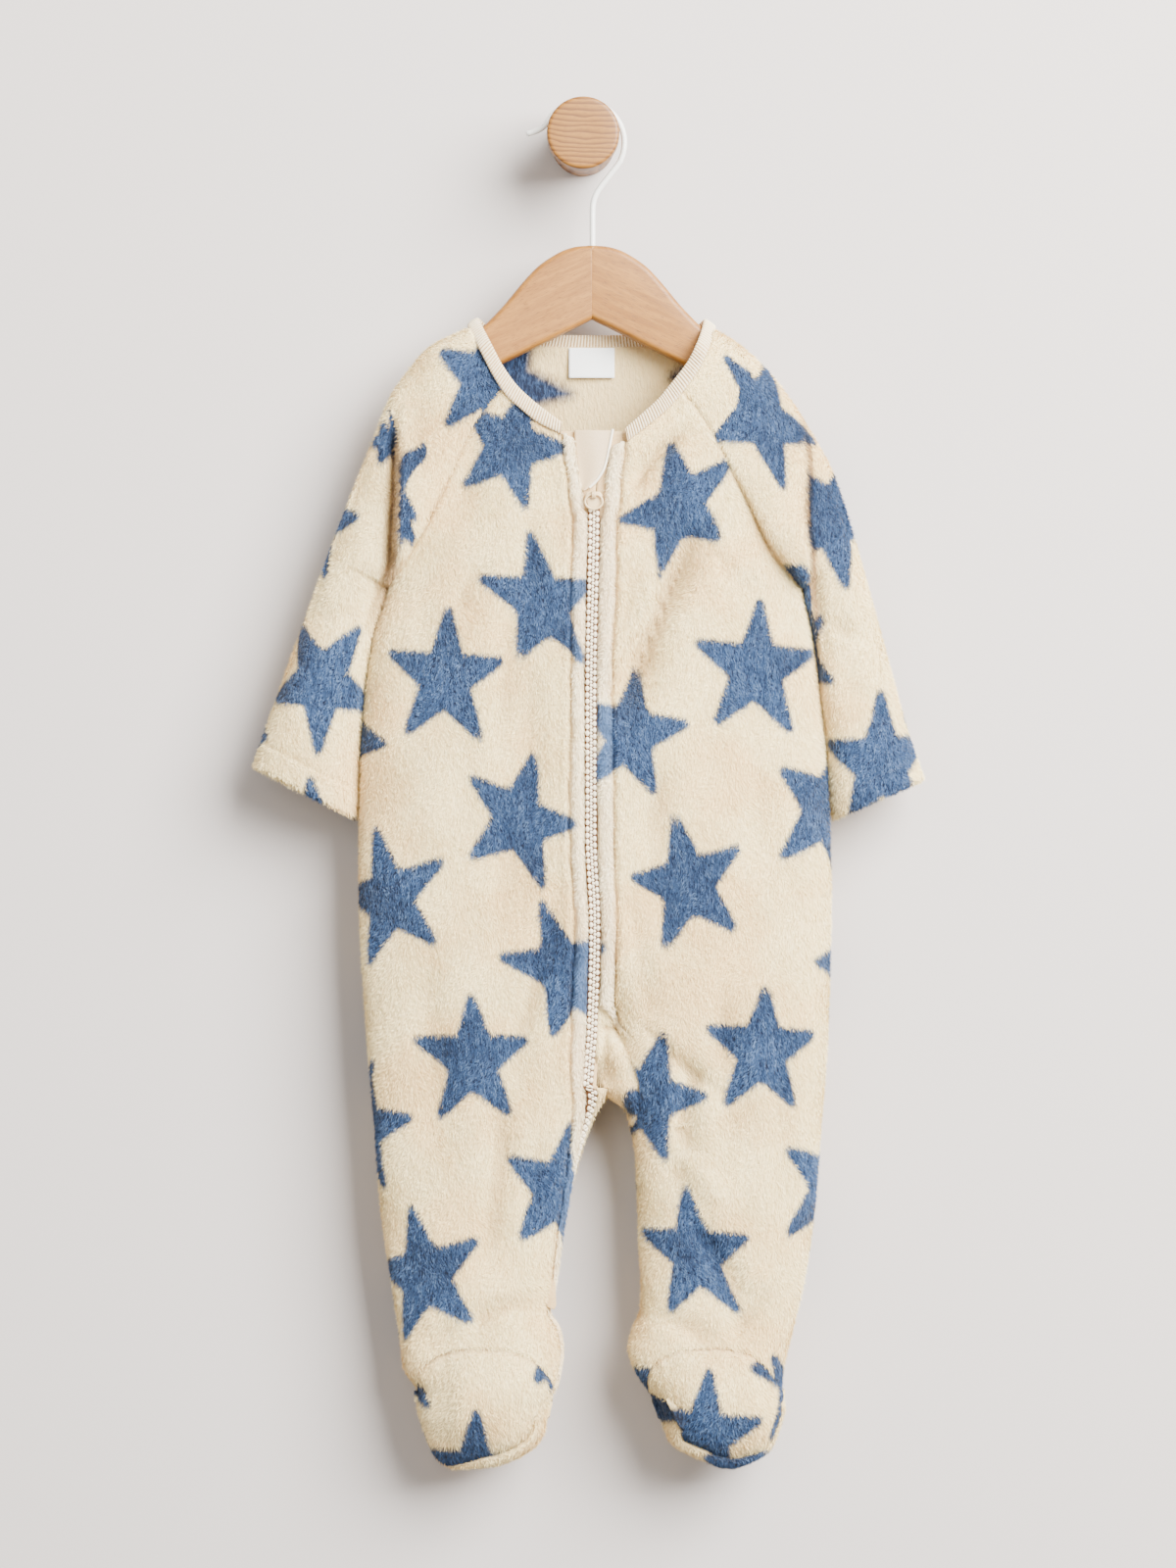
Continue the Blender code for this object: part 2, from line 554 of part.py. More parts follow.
# ---------------------------------------------------------------- sleeves

SLEEVE_COLUMNS, ARM_ROWS = 6, 9
NECK_BEND = {"right": [(-56.5, -119)], "left": [(68.4, -119), (63, -131.1)]}


def sleeve(side, group):
    """Raglan sleeve: open along both raglan seams, one tube from the underarm to the cuff.
    Columns run from the front seam over the outer line to the back seam."""
    sign = 1 if side == "left" else -1
    plan = SLEEVE[side]
    front_seam = raglan(RAGLAN_FRONT, side, sign * SEAM)
    back_seam = raglan(RAGLAN_BACK, side, sign * SEAM)
    count = SLEEVE_COLUMNS
    turn = np.linspace(0, 1, count + 1)
    rows = []
    for k in range(YOKE_ROWS - 1):
        v = k / (YOKE_ROWS - 1)
        closing = ease(v, 0.2, 1.0)
        outer = along(plan["shoulder"], v)
        shares = (1 - closing) * (1 - np.cos(turn * math.pi / 2)) \
            + closing * (1 - np.cos(turn * math.pi)) / 2
        line = []
        for seam, deep, body_y, way in (
                (front_seam[k], SLEEVE_FRONT, front_y, -1), (back_seam[k], SLEEVE_BACK, back_y, 1)):
            edge = abs(body_y(*seam) - HANG_Y) + GAP / 2
            neckline = [plan["shoulder"][0]] + NECK_BEND[side] + [tuple(front_seam[0])]
            half = []
            for w in shares:
                x, z = outer + (seam - outer) * w
                if way < 0 and k < 3:
                    straight = outer * 0 + plan["shoulder"][0]
                    straight = straight + (front_seam[0] - straight) * w
                    x, z = (x, z) + (along(neckline, w) - straight) * (1 - k / 3)
                open_part = edge * section(1 - w, 2.6)
                tube_part = edge * w * w + deep * section(2 * w - 1)
                half.append((x, HANG_Y + way * ((1 - closing) * open_part + closing * tube_part), z))
            line += half[::-1] if way < 0 else half[1:]
        rows.append(line)
    inner_top = np.array([side_x(side, UNDERARM_Z) + sign * 0.9, UNDERARM_Z + 0.6])
    for v in np.linspace(0, 1, ARM_ROWS):
        outer = along(plan["arm"], v)
        inner = inner_top + (np.array(plan["cuff_inner"]) - inner_top) * v
        inner[0] = max(abs(inner[0]), abs(side_x(side, inner[1])) + 0.9) * sign
        plane = HANG_Y + SLEEVE_SET_BACK * v
        shares = (1 - np.cos(turn * math.pi)) / 2
        line = []
        for deep, way in ((SLEEVE_FRONT, -1), (SLEEVE_BACK, 1)):
            half = []
            for w in shares:
                x, z = outer + (inner - outer) * w
                half.append((x, plane + way * deep * section(2 * w - 1), z))
            line += half[::-1] if way < 0 else half[1:]
        rows.append(line)
    if side == "right":
        rows = [line[::-1] for line in rows]
    return cloth(f"sleeve_{side}", [rows], group, fleece())


# ---------------------------------------------------------------- feet

def foot_outline(side):
    """The foot's edge from its side notch round the toe to its inner notch, as (x, z)."""
    heights = np.linspace(NOTCH_Z, TOE_Z, 24)
    down = [(side_x(side, z), z) for z in heights]
    up = [(inner_x(side, z), z) for z in heights[::-1]]
    return down + up


def rim_width(side, share):
    """How far the sole shows in front of the foot's edge."""
    if side == "right":
        return SOLE_RIM * ease(share, 0.3, 0.55) * (1 - 0.75 * ease(share, 0.9, 1.0))
    return SOLE_RIM * (0.25 + 0.75 * ease(share, 0.2, 0.5)) * ease(share, 0.0, 0.05)


FOOT_COLUMNS = 12
FOOT_WALL = 2.2


def toe_seam(side, share, shift=0.0):
    """A point of the seam between foot top and sole, moved towards the foot's middle by shift."""
    x, z = along(foot_outline(side), share)
    middle = ((side_x(side, NOTCH_Z) + inner_x(side, NOTCH_Z)) / 2, NOTCH_Z - 12)
    way = np.array([middle[0] - x, middle[1] - z])
    return np.array([x, z]) + way / np.linalg.norm(way) * (rim_width(side, share) + shift)


def foot_inside(side):
    """Takes a foot's outer point to the inner one: a smaller copy about the foot's middle."""
    middle = Vector(((side_x(side, -703.0) + inner_x(side, -703.0)) / 2, HANG_Y, NOTCH_Z - 8))
    half = Vector((44, 22, 30))

    def inner(point):
        shrunk = [1 - FOOT_WALL / size for size in half]
        away = point - middle
        return middle + Vector(away[i] * shrunk[i] for i in range(3))
    return inner


def vamp(side, group):
    """Foot top, from the seam across the foot down to the toe."""
    rows = []
    for v in (0, 0.05, 0.25, 0.5, 0.75, 0.95, 1):
        line = []
        for j in range(FOOT_COLUMNS + 1):
            share = (1 - math.cos(j / FOOT_COLUMNS * math.pi)) / 2
            top_z = foot_seam_z(2 * share - 1) - SEAM - 0.3
            top_x = side_x(side, top_z) + (inner_x(side, top_z) - side_x(side, top_z)) * share
            low_x, low_z = toe_seam(side, 0.02 + 0.96 * j / FOOT_COLUMNS, SEAM + 0.35)
            x, z = top_x + (low_x - top_x) * v, top_z + (low_z - top_z) * v
            line.append((x, off_seam(front_y(x, z), -1), z))
        rows.append(line)
    if side == "left":
        rows = [line[::-1] for line in rows]
    return cloth(f"vamp_{side}", [rows], group, fleece(), inner_point=foot_inside(side))


def sole(side, group):
    """Sole, from the heel seam behind down to the toe and up in front of it to the foot top."""
    rows = []
    steps = [("back", v) for v in (0, 0.06, 0.3, 0.55, 0.8)]
    steps += [("edge", 0), ("front", 0.5), ("front", 1)]
    for kind, v in steps:
        line = []
        for j in range(FOOT_COLUMNS + 1):
            share = (1 - math.cos(j / FOOT_COLUMNS * math.pi)) / 2
            along_edge = 0.02 + 0.96 * j / FOOT_COLUMNS
            heel_z = heel_seam_z(2 * share - 1) - SEAM
            heel_x = side_x(side, heel_z) + (inner_x(side, heel_z) - side_x(side, heel_z)) * share
            edge_x, edge_z = along(foot_outline(side), along_edge)
            if kind == "back":
                x, z = heel_x + (edge_x - heel_x) * v, heel_z + (edge_z - heel_z) * v
                line.append((x, off_seam(back_y(x, z), 1), z))
            elif kind == "edge":
                line.append((edge_x, off_seam(HANG_Y, 1), edge_z))
            else:
                low_x, low_z = toe_seam(side, along_edge, -SEAM - 0.2)
                x, z = edge_x + (low_x - edge_x) * v, edge_z + (low_z - edge_z) * v
                line.append((x, min(front_y(x, z), HANG_Y + GAP / 2), z))
        rows.append(line)
    if side == "right":
        rows = [line[::-1] for line in rows]
    return cloth(f"sole_{side}", [rows], group, fleece(), inner_point=foot_inside(side))


# ---------------------------------------------------------------- neck

def neck_sections():
    """Rib binding from the zip's right edge round the neck to its left edge: pairs of points on
    the seam line and on the opening's edge."""
    pairs = []

    def depth(side, way, t):
        seam = (RAGLAN_FRONT if way < 0 else RAGLAN_BACK)
        body_y = front_y if way < 0 else back_y
        edge = abs(body_y(seam[side][0], seam["z"][0]) - HANG_Y)
        return HANG_Y + way * edge * section(t, 2.6)

    def front_half(side, table):
        made = []
        corner_x, corner_z = RAGLAN_FRONT[side][0], RAGLAN_FRONT["z"][0]
        top_x, top_z = table["x"][-1], table["z"][-1]
        for x, z, rib_x, rib_z in zip(*(table[name] for name in table)):
            t = math.hypot(x - corner_x, z - corner_z) / math.hypot(top_x - corner_x,
                                                                   top_z - corner_z)
            over = z > corner_z
            y = depth(side, -1, min(t, 1)) if over else front_y(x, z)
            lean = 0.5 if not over else 0.5 * (1 - min(t, 1))
            made.append(((x, y, z), (rib_x, y + lean, rib_z)))
        return made

    pairs += front_half("right", NECK_RIGHT)
    back = [((x, back_y(x, z), z), (rib_x, back_y(x, z) - 0.6, rib_z))
            for x, z, rib_x, rib_z in zip(*(NECK_BACK[name] for name in NECK_BACK))]
    for side, first, last in (("right", pairs[-1], back[0]), ("left", None, None)):
        if side == "right":
            pairs.append(tuple(tuple((np.array(a) * 0.55 + np.array(b) * 0.45)
                                     + np.array((-1.2, 1.0, 0.4))) for a, b in zip(first, last)))
    pairs += back
    left = front_half("left", NECK_LEFT)[::-1]
    pairs.append(tuple(tuple((np.array(a) * 0.45 + np.array(b) * 0.55)
                             + np.array((1.2, 1.0, 0.4))) for a, b in zip(back[-1], left[0])))
    return pairs + left


def neck_binding(group):
    pairs = neck_sections()
    seam_line = [Vector(pair[0]) for pair in pairs]
    rib_line = [Vector(pair[1]) for pair in pairs]

    def resample(line, count):
        flat = np.array([tuple(p) for p in line])
        run = np.concatenate([[0], np.cumsum(np.linalg.norm(np.diff(flat, axis=0), axis=1))])
        fine = np.linspace(0, run[-1], count)
        picks = []
        for at in fine:
            i = min(int(np.searchsorted(run, at, side="right")) - 1, len(run) - 2)
            t = (at - run[i]) / (run[i + 1] - run[i])
            before, after = flat[max(i - 1, 0)], flat[min(i + 2, len(flat) - 1)]
            a, b = flat[i], flat[i + 1]
            m0 = (b - before) / 2 if i else b - a
            m1 = (after - a) / 2 if i + 2 < len(flat) else b - a
            picks.append((2 * t**3 - 3 * t**2 + 1) * a + (t**3 - 2 * t**2 + t) * m0
                         + (3 * t**2 - 2 * t**3) * b + (t**3 - t**2) * m1)
        return [Vector(p) for p in picks]

    count = 32
    seam_line, rib_line = resample(seam_line, count), resample(rib_line, count)
    sections = []
    for k, (seam, rib) in enumerate(zip(seam_line, rib_line)):
        ahead = (seam_line[min(k + 1, count - 1)] - seam_line[max(k - 1, 0)]).normalized()
        wide = rib - seam
        wide = wide - ahead * wide.dot(ahead)
        seam = seam + wide.normalized() * 0.9
        out = ahead.cross(wide).normalized()
        middle, half = (seam + rib) / 2, (rib - seam) / 2
        ring_points = []
        for step in range(8):
            angle = (step + 0.5) * math.pi / 4
            c, s = math.cos(angle), math.sin(angle)
            c = math.copysign(abs(c) ** 0.7, c)
            s = math.copysign(abs(s) ** 0.7, s)
            ring_points.append(middle + half * c + out * (s - 1) * RIB_THICK / 2)
        sections.append(ring_points)
    return loft("neck_binding", sections, group, material("rib", (0.88, 0.80, 0.68), 0.9), 60)


def neck_label(group):
    left, top = -8.0, -116.2
    rows = []
    for v in np.linspace(0, 1, 4):
        line = []
        for u in np.linspace(1, 0, 5):
            x, z = left + LABEL_WIDE * u, top - LABEL_HIGH * v
            line.append((x, back_y(x, z) - FLEECE - GAP - 0.3, z))
        rows.append(line[::-1])
    return cloth("neck_label", [rows], group, material("label", (0.9, 0.9, 0.88), 0.5), LABEL_THICK)


# ---------------------------------------------------------------- zip

def zip_heights(side, top, low):
    """The heights of the fronts' rows between two heights, with those two."""
    foot = [ANKLE_Z + v * (NOTCH_Z + SEAM - ANKLE_Z) for v in FOOT_SHARES]
    yoke = np.linspace(FRONT_CORNER[side][1], UNDERARM_Z, YOKE_ROWS)
    rows = list(yoke) + list(BODY_HEIGHTS[:-1]) + list(LEG_HEIGHTS) + foot
    return [top] + sorted((z for z in set(rows) if low + 2 < z < top - 2), reverse=True) + [low]


def strip(name, group, finish, heights, across, outer, thick):
    """A strip that follows the zip: across gives its points across the zip at a height, outer
    is its depth below the fleece's outer side."""
    sections = []
    for z in heights:
        places = across(z)
        sections.append([zip_point(z, place, outer) for place in places]
                        + [zip_point(z, place, outer + thick) for place in places[::-1]])
    return loft(name, sections, group, finish, 30)


def zip_parts(group):
    cream = material("zip", (0.86, 0.79, 0.68), 0.45)
    tape = material("tape", (0.84, 0.76, 0.65), 0.85)
    chain = zip_heights("right", SLIDER_Z - SLIDER_HIGH / 2 - GAP, ZIP_END_Z)
    strip("zip_chain", group, cream, chain, lambda z: (-CHAIN_WIDTH / 2, 0, CHAIN_WIDTH / 2),
          0.35, CHAIN_THICK)

    def right_tape(z):
        if z > ZIP_OPENING["z"][-1]:
            edge = front_edge_x("right", z) - smooth(ZIP_X, "x", z)
            return edge - ZIP_LIPS[1], edge - ZIP_LIPS[0], edge, edge + 3.4
        return -ZIP_HALF - ZIP_LIPS[1], -ZIP_HALF - ZIP_LIPS[0], -ZIP_HALF, -0.15

    def left_tape(z):
        if z > ZIP_OPENING["z"][-1]:
            edge = front_edge_x("left", z) - smooth(ZIP_X, "x", z)
            first = max(edge - 5.0, right_tape(z)[-1] + GAP)
            return first, max(edge, first + 0.1), edge + ZIP_LIPS[0], edge + ZIP_LIPS[1]
        lips = ZIP_HALF + ZIP_LIPS[0], ZIP_HALF + ZIP_LIPS[1]
        narrow = ease(-z, 490, 515) * (1 - ease(-z, 560, 585))
        return 0.15, ZIP_HALF, lips[0], lips[1] - 6.0 * narrow

    for side, places in (("right", right_tape), ("left", left_tape)):
        heights = zip_heights(side, ZIP_TOP_Z - 1, ZIP_END_Z - 3)
        strip(f"zip_tape_{side}", group, tape, heights, places, TAPE_DEEP, TAPE_THICK)


def zip_slider(group):
    """Slider body, wide where the chain enters, with a bridge that carries the pull."""
    cream = material("zip", (0.86, 0.79, 0.68), 0.45)
    x, _, _ = zip_point(SLIDER_Z, 0, 0)
    front = front_y(x, SLIDER_Z) - GAP / 2 - 1.3
    outline = [(-0.30, -0.5), (0.30, -0.5), (0.38, -0.3), (0.46, 0.1), (0.5, 0.32), (0.36, 0.5),
               (-0.36, 0.5), (-0.5, 0.32), (-0.46, 0.1), (-0.38, -0.3)]
    bm = bmesh.new()
    flat = [bm.verts.new(Vector((x + a * SLIDER_WIDTH, front, SLIDER_Z + b * SLIDER_HIGH)) * MM)
            for a, b in outline]
    face = bm.faces.new(flat)
    made = bmesh.ops.extrude_face_region(bm, geom=[face])
    bmesh.ops.translate(bm, vec=Vector((0, SLIDER_THICK * MM, 0)),
                        verts=[v for v in made["geom"] if isinstance(v, bmesh.types.BMVert)])
    bmesh.ops.recalc_face_normals(bm, faces=bm.faces)
    body = add_object("zip_slider", bm, group, cream, 40)

    bridge = bmesh.new()
    wide, deep, tall, wall = 2.2, 3.0, 4.4, 0.75
    low, high = PIVOT_Z - tall / 2, PIVOT_Z + tall / 2
    outer_loop = [(front + 0.4, low), (front - deep, low), (front - deep, high), (front + 0.4, high)]
    inner_loop = [(front + 0.4, low + wall), (front - deep + wall, low + wall),
                  (front - deep + wall, high - wall), (front + 0.4, high - wall)]
    for px in (x - wide / 2, x + wide / 2):
        for y, z in outer_loop + inner_loop:
            bridge.verts.new(Vector((px, y, z)) * MM)
    bridge.verts.ensure_lookup_table()
    v = list(bridge.verts)
    for i in range(3):
        j = i + 1
        bridge.faces.new((v[i], v[j], v[j + 4], v[i + 4]))
        bridge.faces.new((v[8 + i], v[12 + i], v[12 + j], v[8 + j]))
        bridge.faces.new((v[i], v[8 + i], v[8 + j], v[j]))
        bridge.faces.new((v[4 + i], v[4 + j], v[12 + j], v[12 + i]))
    bridge.faces.new((v[0], v[4], v[12], v[8]))
    bridge.faces.new((v[3], v[11], v[15], v[7]))
    bmesh.ops.recalc_face_normals(bridge, faces=bridge.faces)
    bail = add_object("slider_bridge", bridge, group, cream, 40)
    join = body.modifiers.new("bridge", "BOOLEAN")
    join.operation = "UNION"
    join.object = bail
    return body, bail, x, front


PIVOT_Z = -199.4          # the pull's hinge axis, which runs along X
PULL_WIDE, PULL_HIGH, PULL_BAR, PULL_THICK = 9.6, 8.2, 1.2, 1.2


def zip_pull(group, x, front):
    """An oval ring whose straight top bar lies in the slider's bridge."""
    pivot_y = front - 1.15
    cream = material("zip", (0.86, 0.79, 0.68), 0.45)
    curve = bpy.data.curves.new("zip_pull", "CURVE")
    curve.dimensions = "3D"
    curve.bevel_depth = PULL_BAR / 2 * MM
    curve.bevel_resolution = 1
    path = [(-2.0, 0.0), (2.0, 0.0)]
    for step in range(1, 12):
        angle = math.pi / 2 - step * 2 * math.pi / 12
        path.append((PULL_WIDE / 2 * math.cos(angle) * 1.0,
                     -PULL_HIGH / 2 + PULL_HIGH / 2 * math.sin(angle)))
    spline = curve.splines.new("POLY")
    spline.points.add(len(path) - 1)
    for point, (px, pz) in zip(spline.points, path):
        point.co = (px * MM, 0, pz * MM, 1)
    spline.use_cyclic_u = True
    ob = bpy.data.objects.new("zip_pull", curve)
    curve.materials.append(cream)
    ob.location = Vector((x, pivot_y, PIVOT_Z)) * MM
    group.objects.link(ob)
    return ob


def zip_guard(group):
    """Satin guard behind the zip's open top, from the neck edge to its tip above the slider."""
    rows = []
    table = columns("z left right", [
        (-163.2, -5.0, 16.3), (-172, -4.0, 14.6), (-183.6, -2.4, 11.9), (-190.6, -1.2, 8.1),
        (-195.2, -0.3, 3.6), (-197.0, -0.05, 1.2)])
    for z in np.linspace(-163.6, -196.8, 8):
        low, high = smooth(table, "left", z), smooth(table, "right", z)
        rows.append([(x, front_y(x, z) + 0.9, z) for x in np.linspace(low, high, 5)])
    return cloth("zip_guard", [rows], group, material("satin", (0.74, 0.66, 0.56), 0.35), 1.2)


# ---------------------------------------------------------------- hanger and peg

def wood(name, colour):
    return material(name, colour, 0.55)


def hanger_arm(side, group, cutters):
    """One beech half: curved top edge, straight underside, rounded tip, bevelled all round."""
    sign = 1 if side == "left" else -1
    table = {"dx": HANGER_TOP["dx"], "z": HANGER_TOP["z"]}
    top = [(dx, smooth(table, "z", dx, key="dx")) for dx in np.linspace(0, 89, 20)]
    low_z = HANGER_UNDER_Z - HANGER_UNDER_SLOPE * (HANGER_TIP_DX - 5)
    tip = [(93.6, -134.4), (96.4, -139), (HANGER_TIP_DX, -143.5), (95.2, low_z + 1.0)]
    under = [(HANGER_TIP_DX - 5, low_z), (60, HANGER_UNDER_Z - HANGER_UNDER_SLOPE * 60),
             (0, HANGER_UNDER_Z)]
    outline = top + tip + under
    bm = bmesh.new()
    faces = []
    for y in (-HANGER_THICK / 2, HANGER_THICK / 2):
        verts = [bm.verts.new(Vector((HANGER_X + sign * (dx + GAP / 2), HANG_Y + y, z)) * MM)
                 for dx, z in outline]
        faces.append(bm.faces.new(verts))
    near, far = (list(face.verts) for face in faces)
    for i in range(len(near)):
        j = (i + 1) % len(near)
        bm.faces.new((near[i], near[j], far[j], far[i]))
    bmesh.ops.recalc_face_normals(bm, faces=bm.faces)
    joint_x = (HANGER_X + sign * GAP / 2) * MM
    rim = [edge for face in faces for edge in face.edges
           if not all(abs(v.co.x - joint_x) < 1e-6 for v in edge.verts)]
    bmesh.ops.bevel(bm, geom=rim, offset=3.2 * MM, segments=2, profile=0.5, affect="EDGES",
                    clamp_overlap=True)
    bmesh.ops.remove_doubles(bm, verts=bm.verts, dist=0.00002)
    ob = add_object(f"hanger_arm_{side}", bm, group, wood("beech", (0.72, 0.50, 0.33)), 35)
    cut = ob.modifiers.new("wire hole", "BOOLEAN")
    cut.operation = "DIFFERENCE"
    cut.object = cutters.objects["wire hole"]
    return ob


STEM_X, STEM_TOP_Z, STEM_LOW_Z = 5.2, -34.5, -76.0


def wire_hole(cutters):
    bpy.ops.mesh.primitive_cylinder_add(vertices=12, radius=(WIRE_RADIUS + GAP) * MM,
                                        depth=30 * MM)
    ob = bpy.context.active_object
    ob.name = "wire hole"
    ob.location = Vector((STEM_X, HANG_Y, STEM_LOW_Z - 0.5 + 15)) * MM
    for other in list(ob.users_collection):
        other.objects.unlink(ob)
    cutters.objects.link(ob)
    ob.hide_render = True
    ob.display_type = "WIRE"


def hanger_hook(group):
    """White wire: stem, bend, round part over the peg, flared end."""
    path = [(STEM_X, STEM_LOW_Z), (STEM_X, -62), (STEM_X, -50), (STEM_X, -41),
            (STEM_X + 0.4, -36.6), (STEM_X + 1.7, -32.4), (STEM_X + 4.6, -27.6)]
    start, stop = math.radians(-32), math.radians(147)
    for angle in np.linspace(start, stop, 22):
        path.append((HOOK_RADIUS * math.cos(angle), HOOK_RADIUS * math.sin(angle) - HOOK_DROP))
    path += [(-21.3, 6.2), (-24.3, 3.9), (-27.6, 2.6), (-30.8, 1.8)]
    curve = bpy.data.curves.new("hanger_hook", "CURVE")
    curve.dimensions = "3D"
    curve.bevel_depth = WIRE_RADIUS * MM
    curve.bevel_resolution = 2
    curve.use_fill_caps = True
    spline = curve.splines.new("POLY")
    spline.points.add(len(path) - 1)
    for point, (x, z) in zip(spline.points, path):
        point.co = (x * MM, HANG_Y * MM, z * MM, 1)
    curve.materials.append(material("white_wire", (0.87, 0.87, 0.83), 0.4))
    ob = bpy.data.objects.new("hanger_hook", curve)
    group.objects.link(ob)
    return ob


def wall_peg(group):
    """Turned peg: shank from the wall and a flat round head, on the Y axis."""
    head = PEG_LENGTH - PEG_HEAD_THICK
    profile = [(0, PEG_LENGTH), (PEG_HEAD_RADIUS - 1.0, PEG_LENGTH),
               (PEG_HEAD_RADIUS - 0.3, PEG_LENGTH - 0.3), (PEG_HEAD_RADIUS, PEG_LENGTH - 1.0),
               (PEG_HEAD_RADIUS, head + 0.8), (PEG_HEAD_RADIUS - 0.8, head),
               (PEG_SHANK_RADIUS, head - 0.6), (PEG_SHANK_RADIUS, 0), (0, 0)]
    bm = bmesh.new()
    verts = [bm.verts.new(Vector((r, 0, z)) * MM) for r, z in profile]
    for a, b in zip(verts, verts[1:]):
        bm.edges.new((a, b))
    ob = add_object("wall_peg", bm, group, wood("beech_peg", (0.74, 0.54, 0.37)))
    ob.rotation_euler = (math.pi / 2, 0, 0)
    turned = ob.modifiers.new("turned", "SCREW")
    turned.steps = turned.render_steps = 36
    turned.use_merge_vertices = True
    turned.merge_threshold = 0.00005
    turned.use_smooth_shade = True
    return ob


def main():
    group, cutters = clear_scene()
    front_panel("right", group)
    front_panel("left", group)
    back_panel(group)
    for side in ("right", "left"):
        sleeve(side, group)
        vamp(side, group)
        sole(side, group)
    neck_binding(group)
    neck_label(group)
    zip_parts(group)
    body, bail, x, front = zip_slider(group)
    cutters.objects.link(bail)
    group.objects.unlink(bail)
    bail.hide_render = True
    bail.display_type = "WIRE"
    zip_pull(group, x, front)
    zip_guard(group)
    wire_hole(cutters)
    for side in ("right", "left"):
        hanger_arm(side, group, cutters)
    hanger_hook(group)
    wall_peg(group)


main()
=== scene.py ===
import math

import bmesh
import bpy
import numpy as np
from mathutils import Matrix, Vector


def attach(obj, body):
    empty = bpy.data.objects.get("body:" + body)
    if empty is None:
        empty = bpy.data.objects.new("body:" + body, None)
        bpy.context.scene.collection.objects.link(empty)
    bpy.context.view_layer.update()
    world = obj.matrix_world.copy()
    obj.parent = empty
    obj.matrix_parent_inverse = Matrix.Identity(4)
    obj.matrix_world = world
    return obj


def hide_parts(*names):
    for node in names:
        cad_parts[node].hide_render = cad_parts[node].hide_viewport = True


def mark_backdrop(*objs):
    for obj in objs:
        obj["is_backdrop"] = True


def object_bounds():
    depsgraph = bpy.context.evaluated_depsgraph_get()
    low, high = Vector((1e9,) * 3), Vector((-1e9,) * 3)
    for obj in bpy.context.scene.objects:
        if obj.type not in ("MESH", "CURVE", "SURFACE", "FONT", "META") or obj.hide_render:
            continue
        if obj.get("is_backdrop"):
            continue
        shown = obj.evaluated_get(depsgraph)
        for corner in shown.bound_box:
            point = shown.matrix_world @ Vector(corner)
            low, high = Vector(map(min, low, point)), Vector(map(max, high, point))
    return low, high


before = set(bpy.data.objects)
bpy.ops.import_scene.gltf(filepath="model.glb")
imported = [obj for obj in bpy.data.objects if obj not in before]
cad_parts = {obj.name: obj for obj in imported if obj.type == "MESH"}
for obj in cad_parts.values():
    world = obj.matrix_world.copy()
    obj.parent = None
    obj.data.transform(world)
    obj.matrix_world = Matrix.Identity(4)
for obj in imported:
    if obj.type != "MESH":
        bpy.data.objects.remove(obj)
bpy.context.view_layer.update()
rng = np.random.default_rng(11)

# All lengths below are millimetres until a mesh is made; the wall is y = 0, the suit hangs at -y.
mm = 0.001
hangY = -34.0
underarmZ = -250.0
crotchX, crotchZ = 17.8, -525.4
ankleZ, notchZ, toeZ = -610.0, -692.5, -736.0
closedZ = -212.0         # below it the fronts lie beside the closed zip
archZ = -550.0           # below it the zip runs straight down the leg
outward = {"right": -1, "left": 1}


def hermite(t, a, b, slopeA, slopeB):
    # Cubic from a to b with these slopes, for t from 0 to 1.
    return ((2 * t**3 - 3 * t**2 + 1) * a + (t**3 - 2 * t**2 + t) * slopeA
            + (3 * t**2 - 2 * t**3) * b + (t**3 - t**2) * slopeB)


def runOf(points):
    # Running length along rows of points, from 0.
    step = np.linalg.norm(np.diff(points, axis=-2), axis=-1)
    return np.concatenate([0 * step[..., :1], np.cumsum(step, axis=-1)], axis=-1)


def ease(value, low, high):
    t = np.clip((np.asarray(value, float) - low) / (high - low), 0, 1)
    return t * t * (3 - 2 * t)


def bell(value, width):
    return np.exp(-(value / width) ** 2)


def window(value, rise, fall):
    # 0 at first, 1 once past rise, 0 again past fall; each is a pair.
    return ease(value, *rise) * (1 - ease(value, *fall))


class Track:
    # Smooth line through a few rows, read at any height.

    def __init__(self, rows, column=1):
        rows = sorted(rows)
        self.x = np.array([r[0] for r in rows], float)
        self.y = np.array([r[column] for r in rows], float)
        rise = np.diff(self.y) / np.diff(self.x)
        inner = np.zeros(max(len(rise) - 1, 0))
        same = rise[:-1] * rise[1:] > 0
        inner[same] = 2 * rise[:-1][same] * rise[1:][same] / (rise[:-1][same] + rise[1:][same])
        self.m = np.concatenate([rise[:1], inner, rise[-1:]])

    def __call__(self, at):
        at = np.clip(np.asarray(at, float), self.x[0], self.x[-1])
        i = np.clip(np.searchsorted(self.x, at) - 1, 0, len(self.x) - 2)
        w = self.x[i + 1] - self.x[i]
        t = (at - self.x[i]) / w
        return hermite(t, self.y[i], self.y[i + 1], w * self.m[i], w * self.m[i + 1])


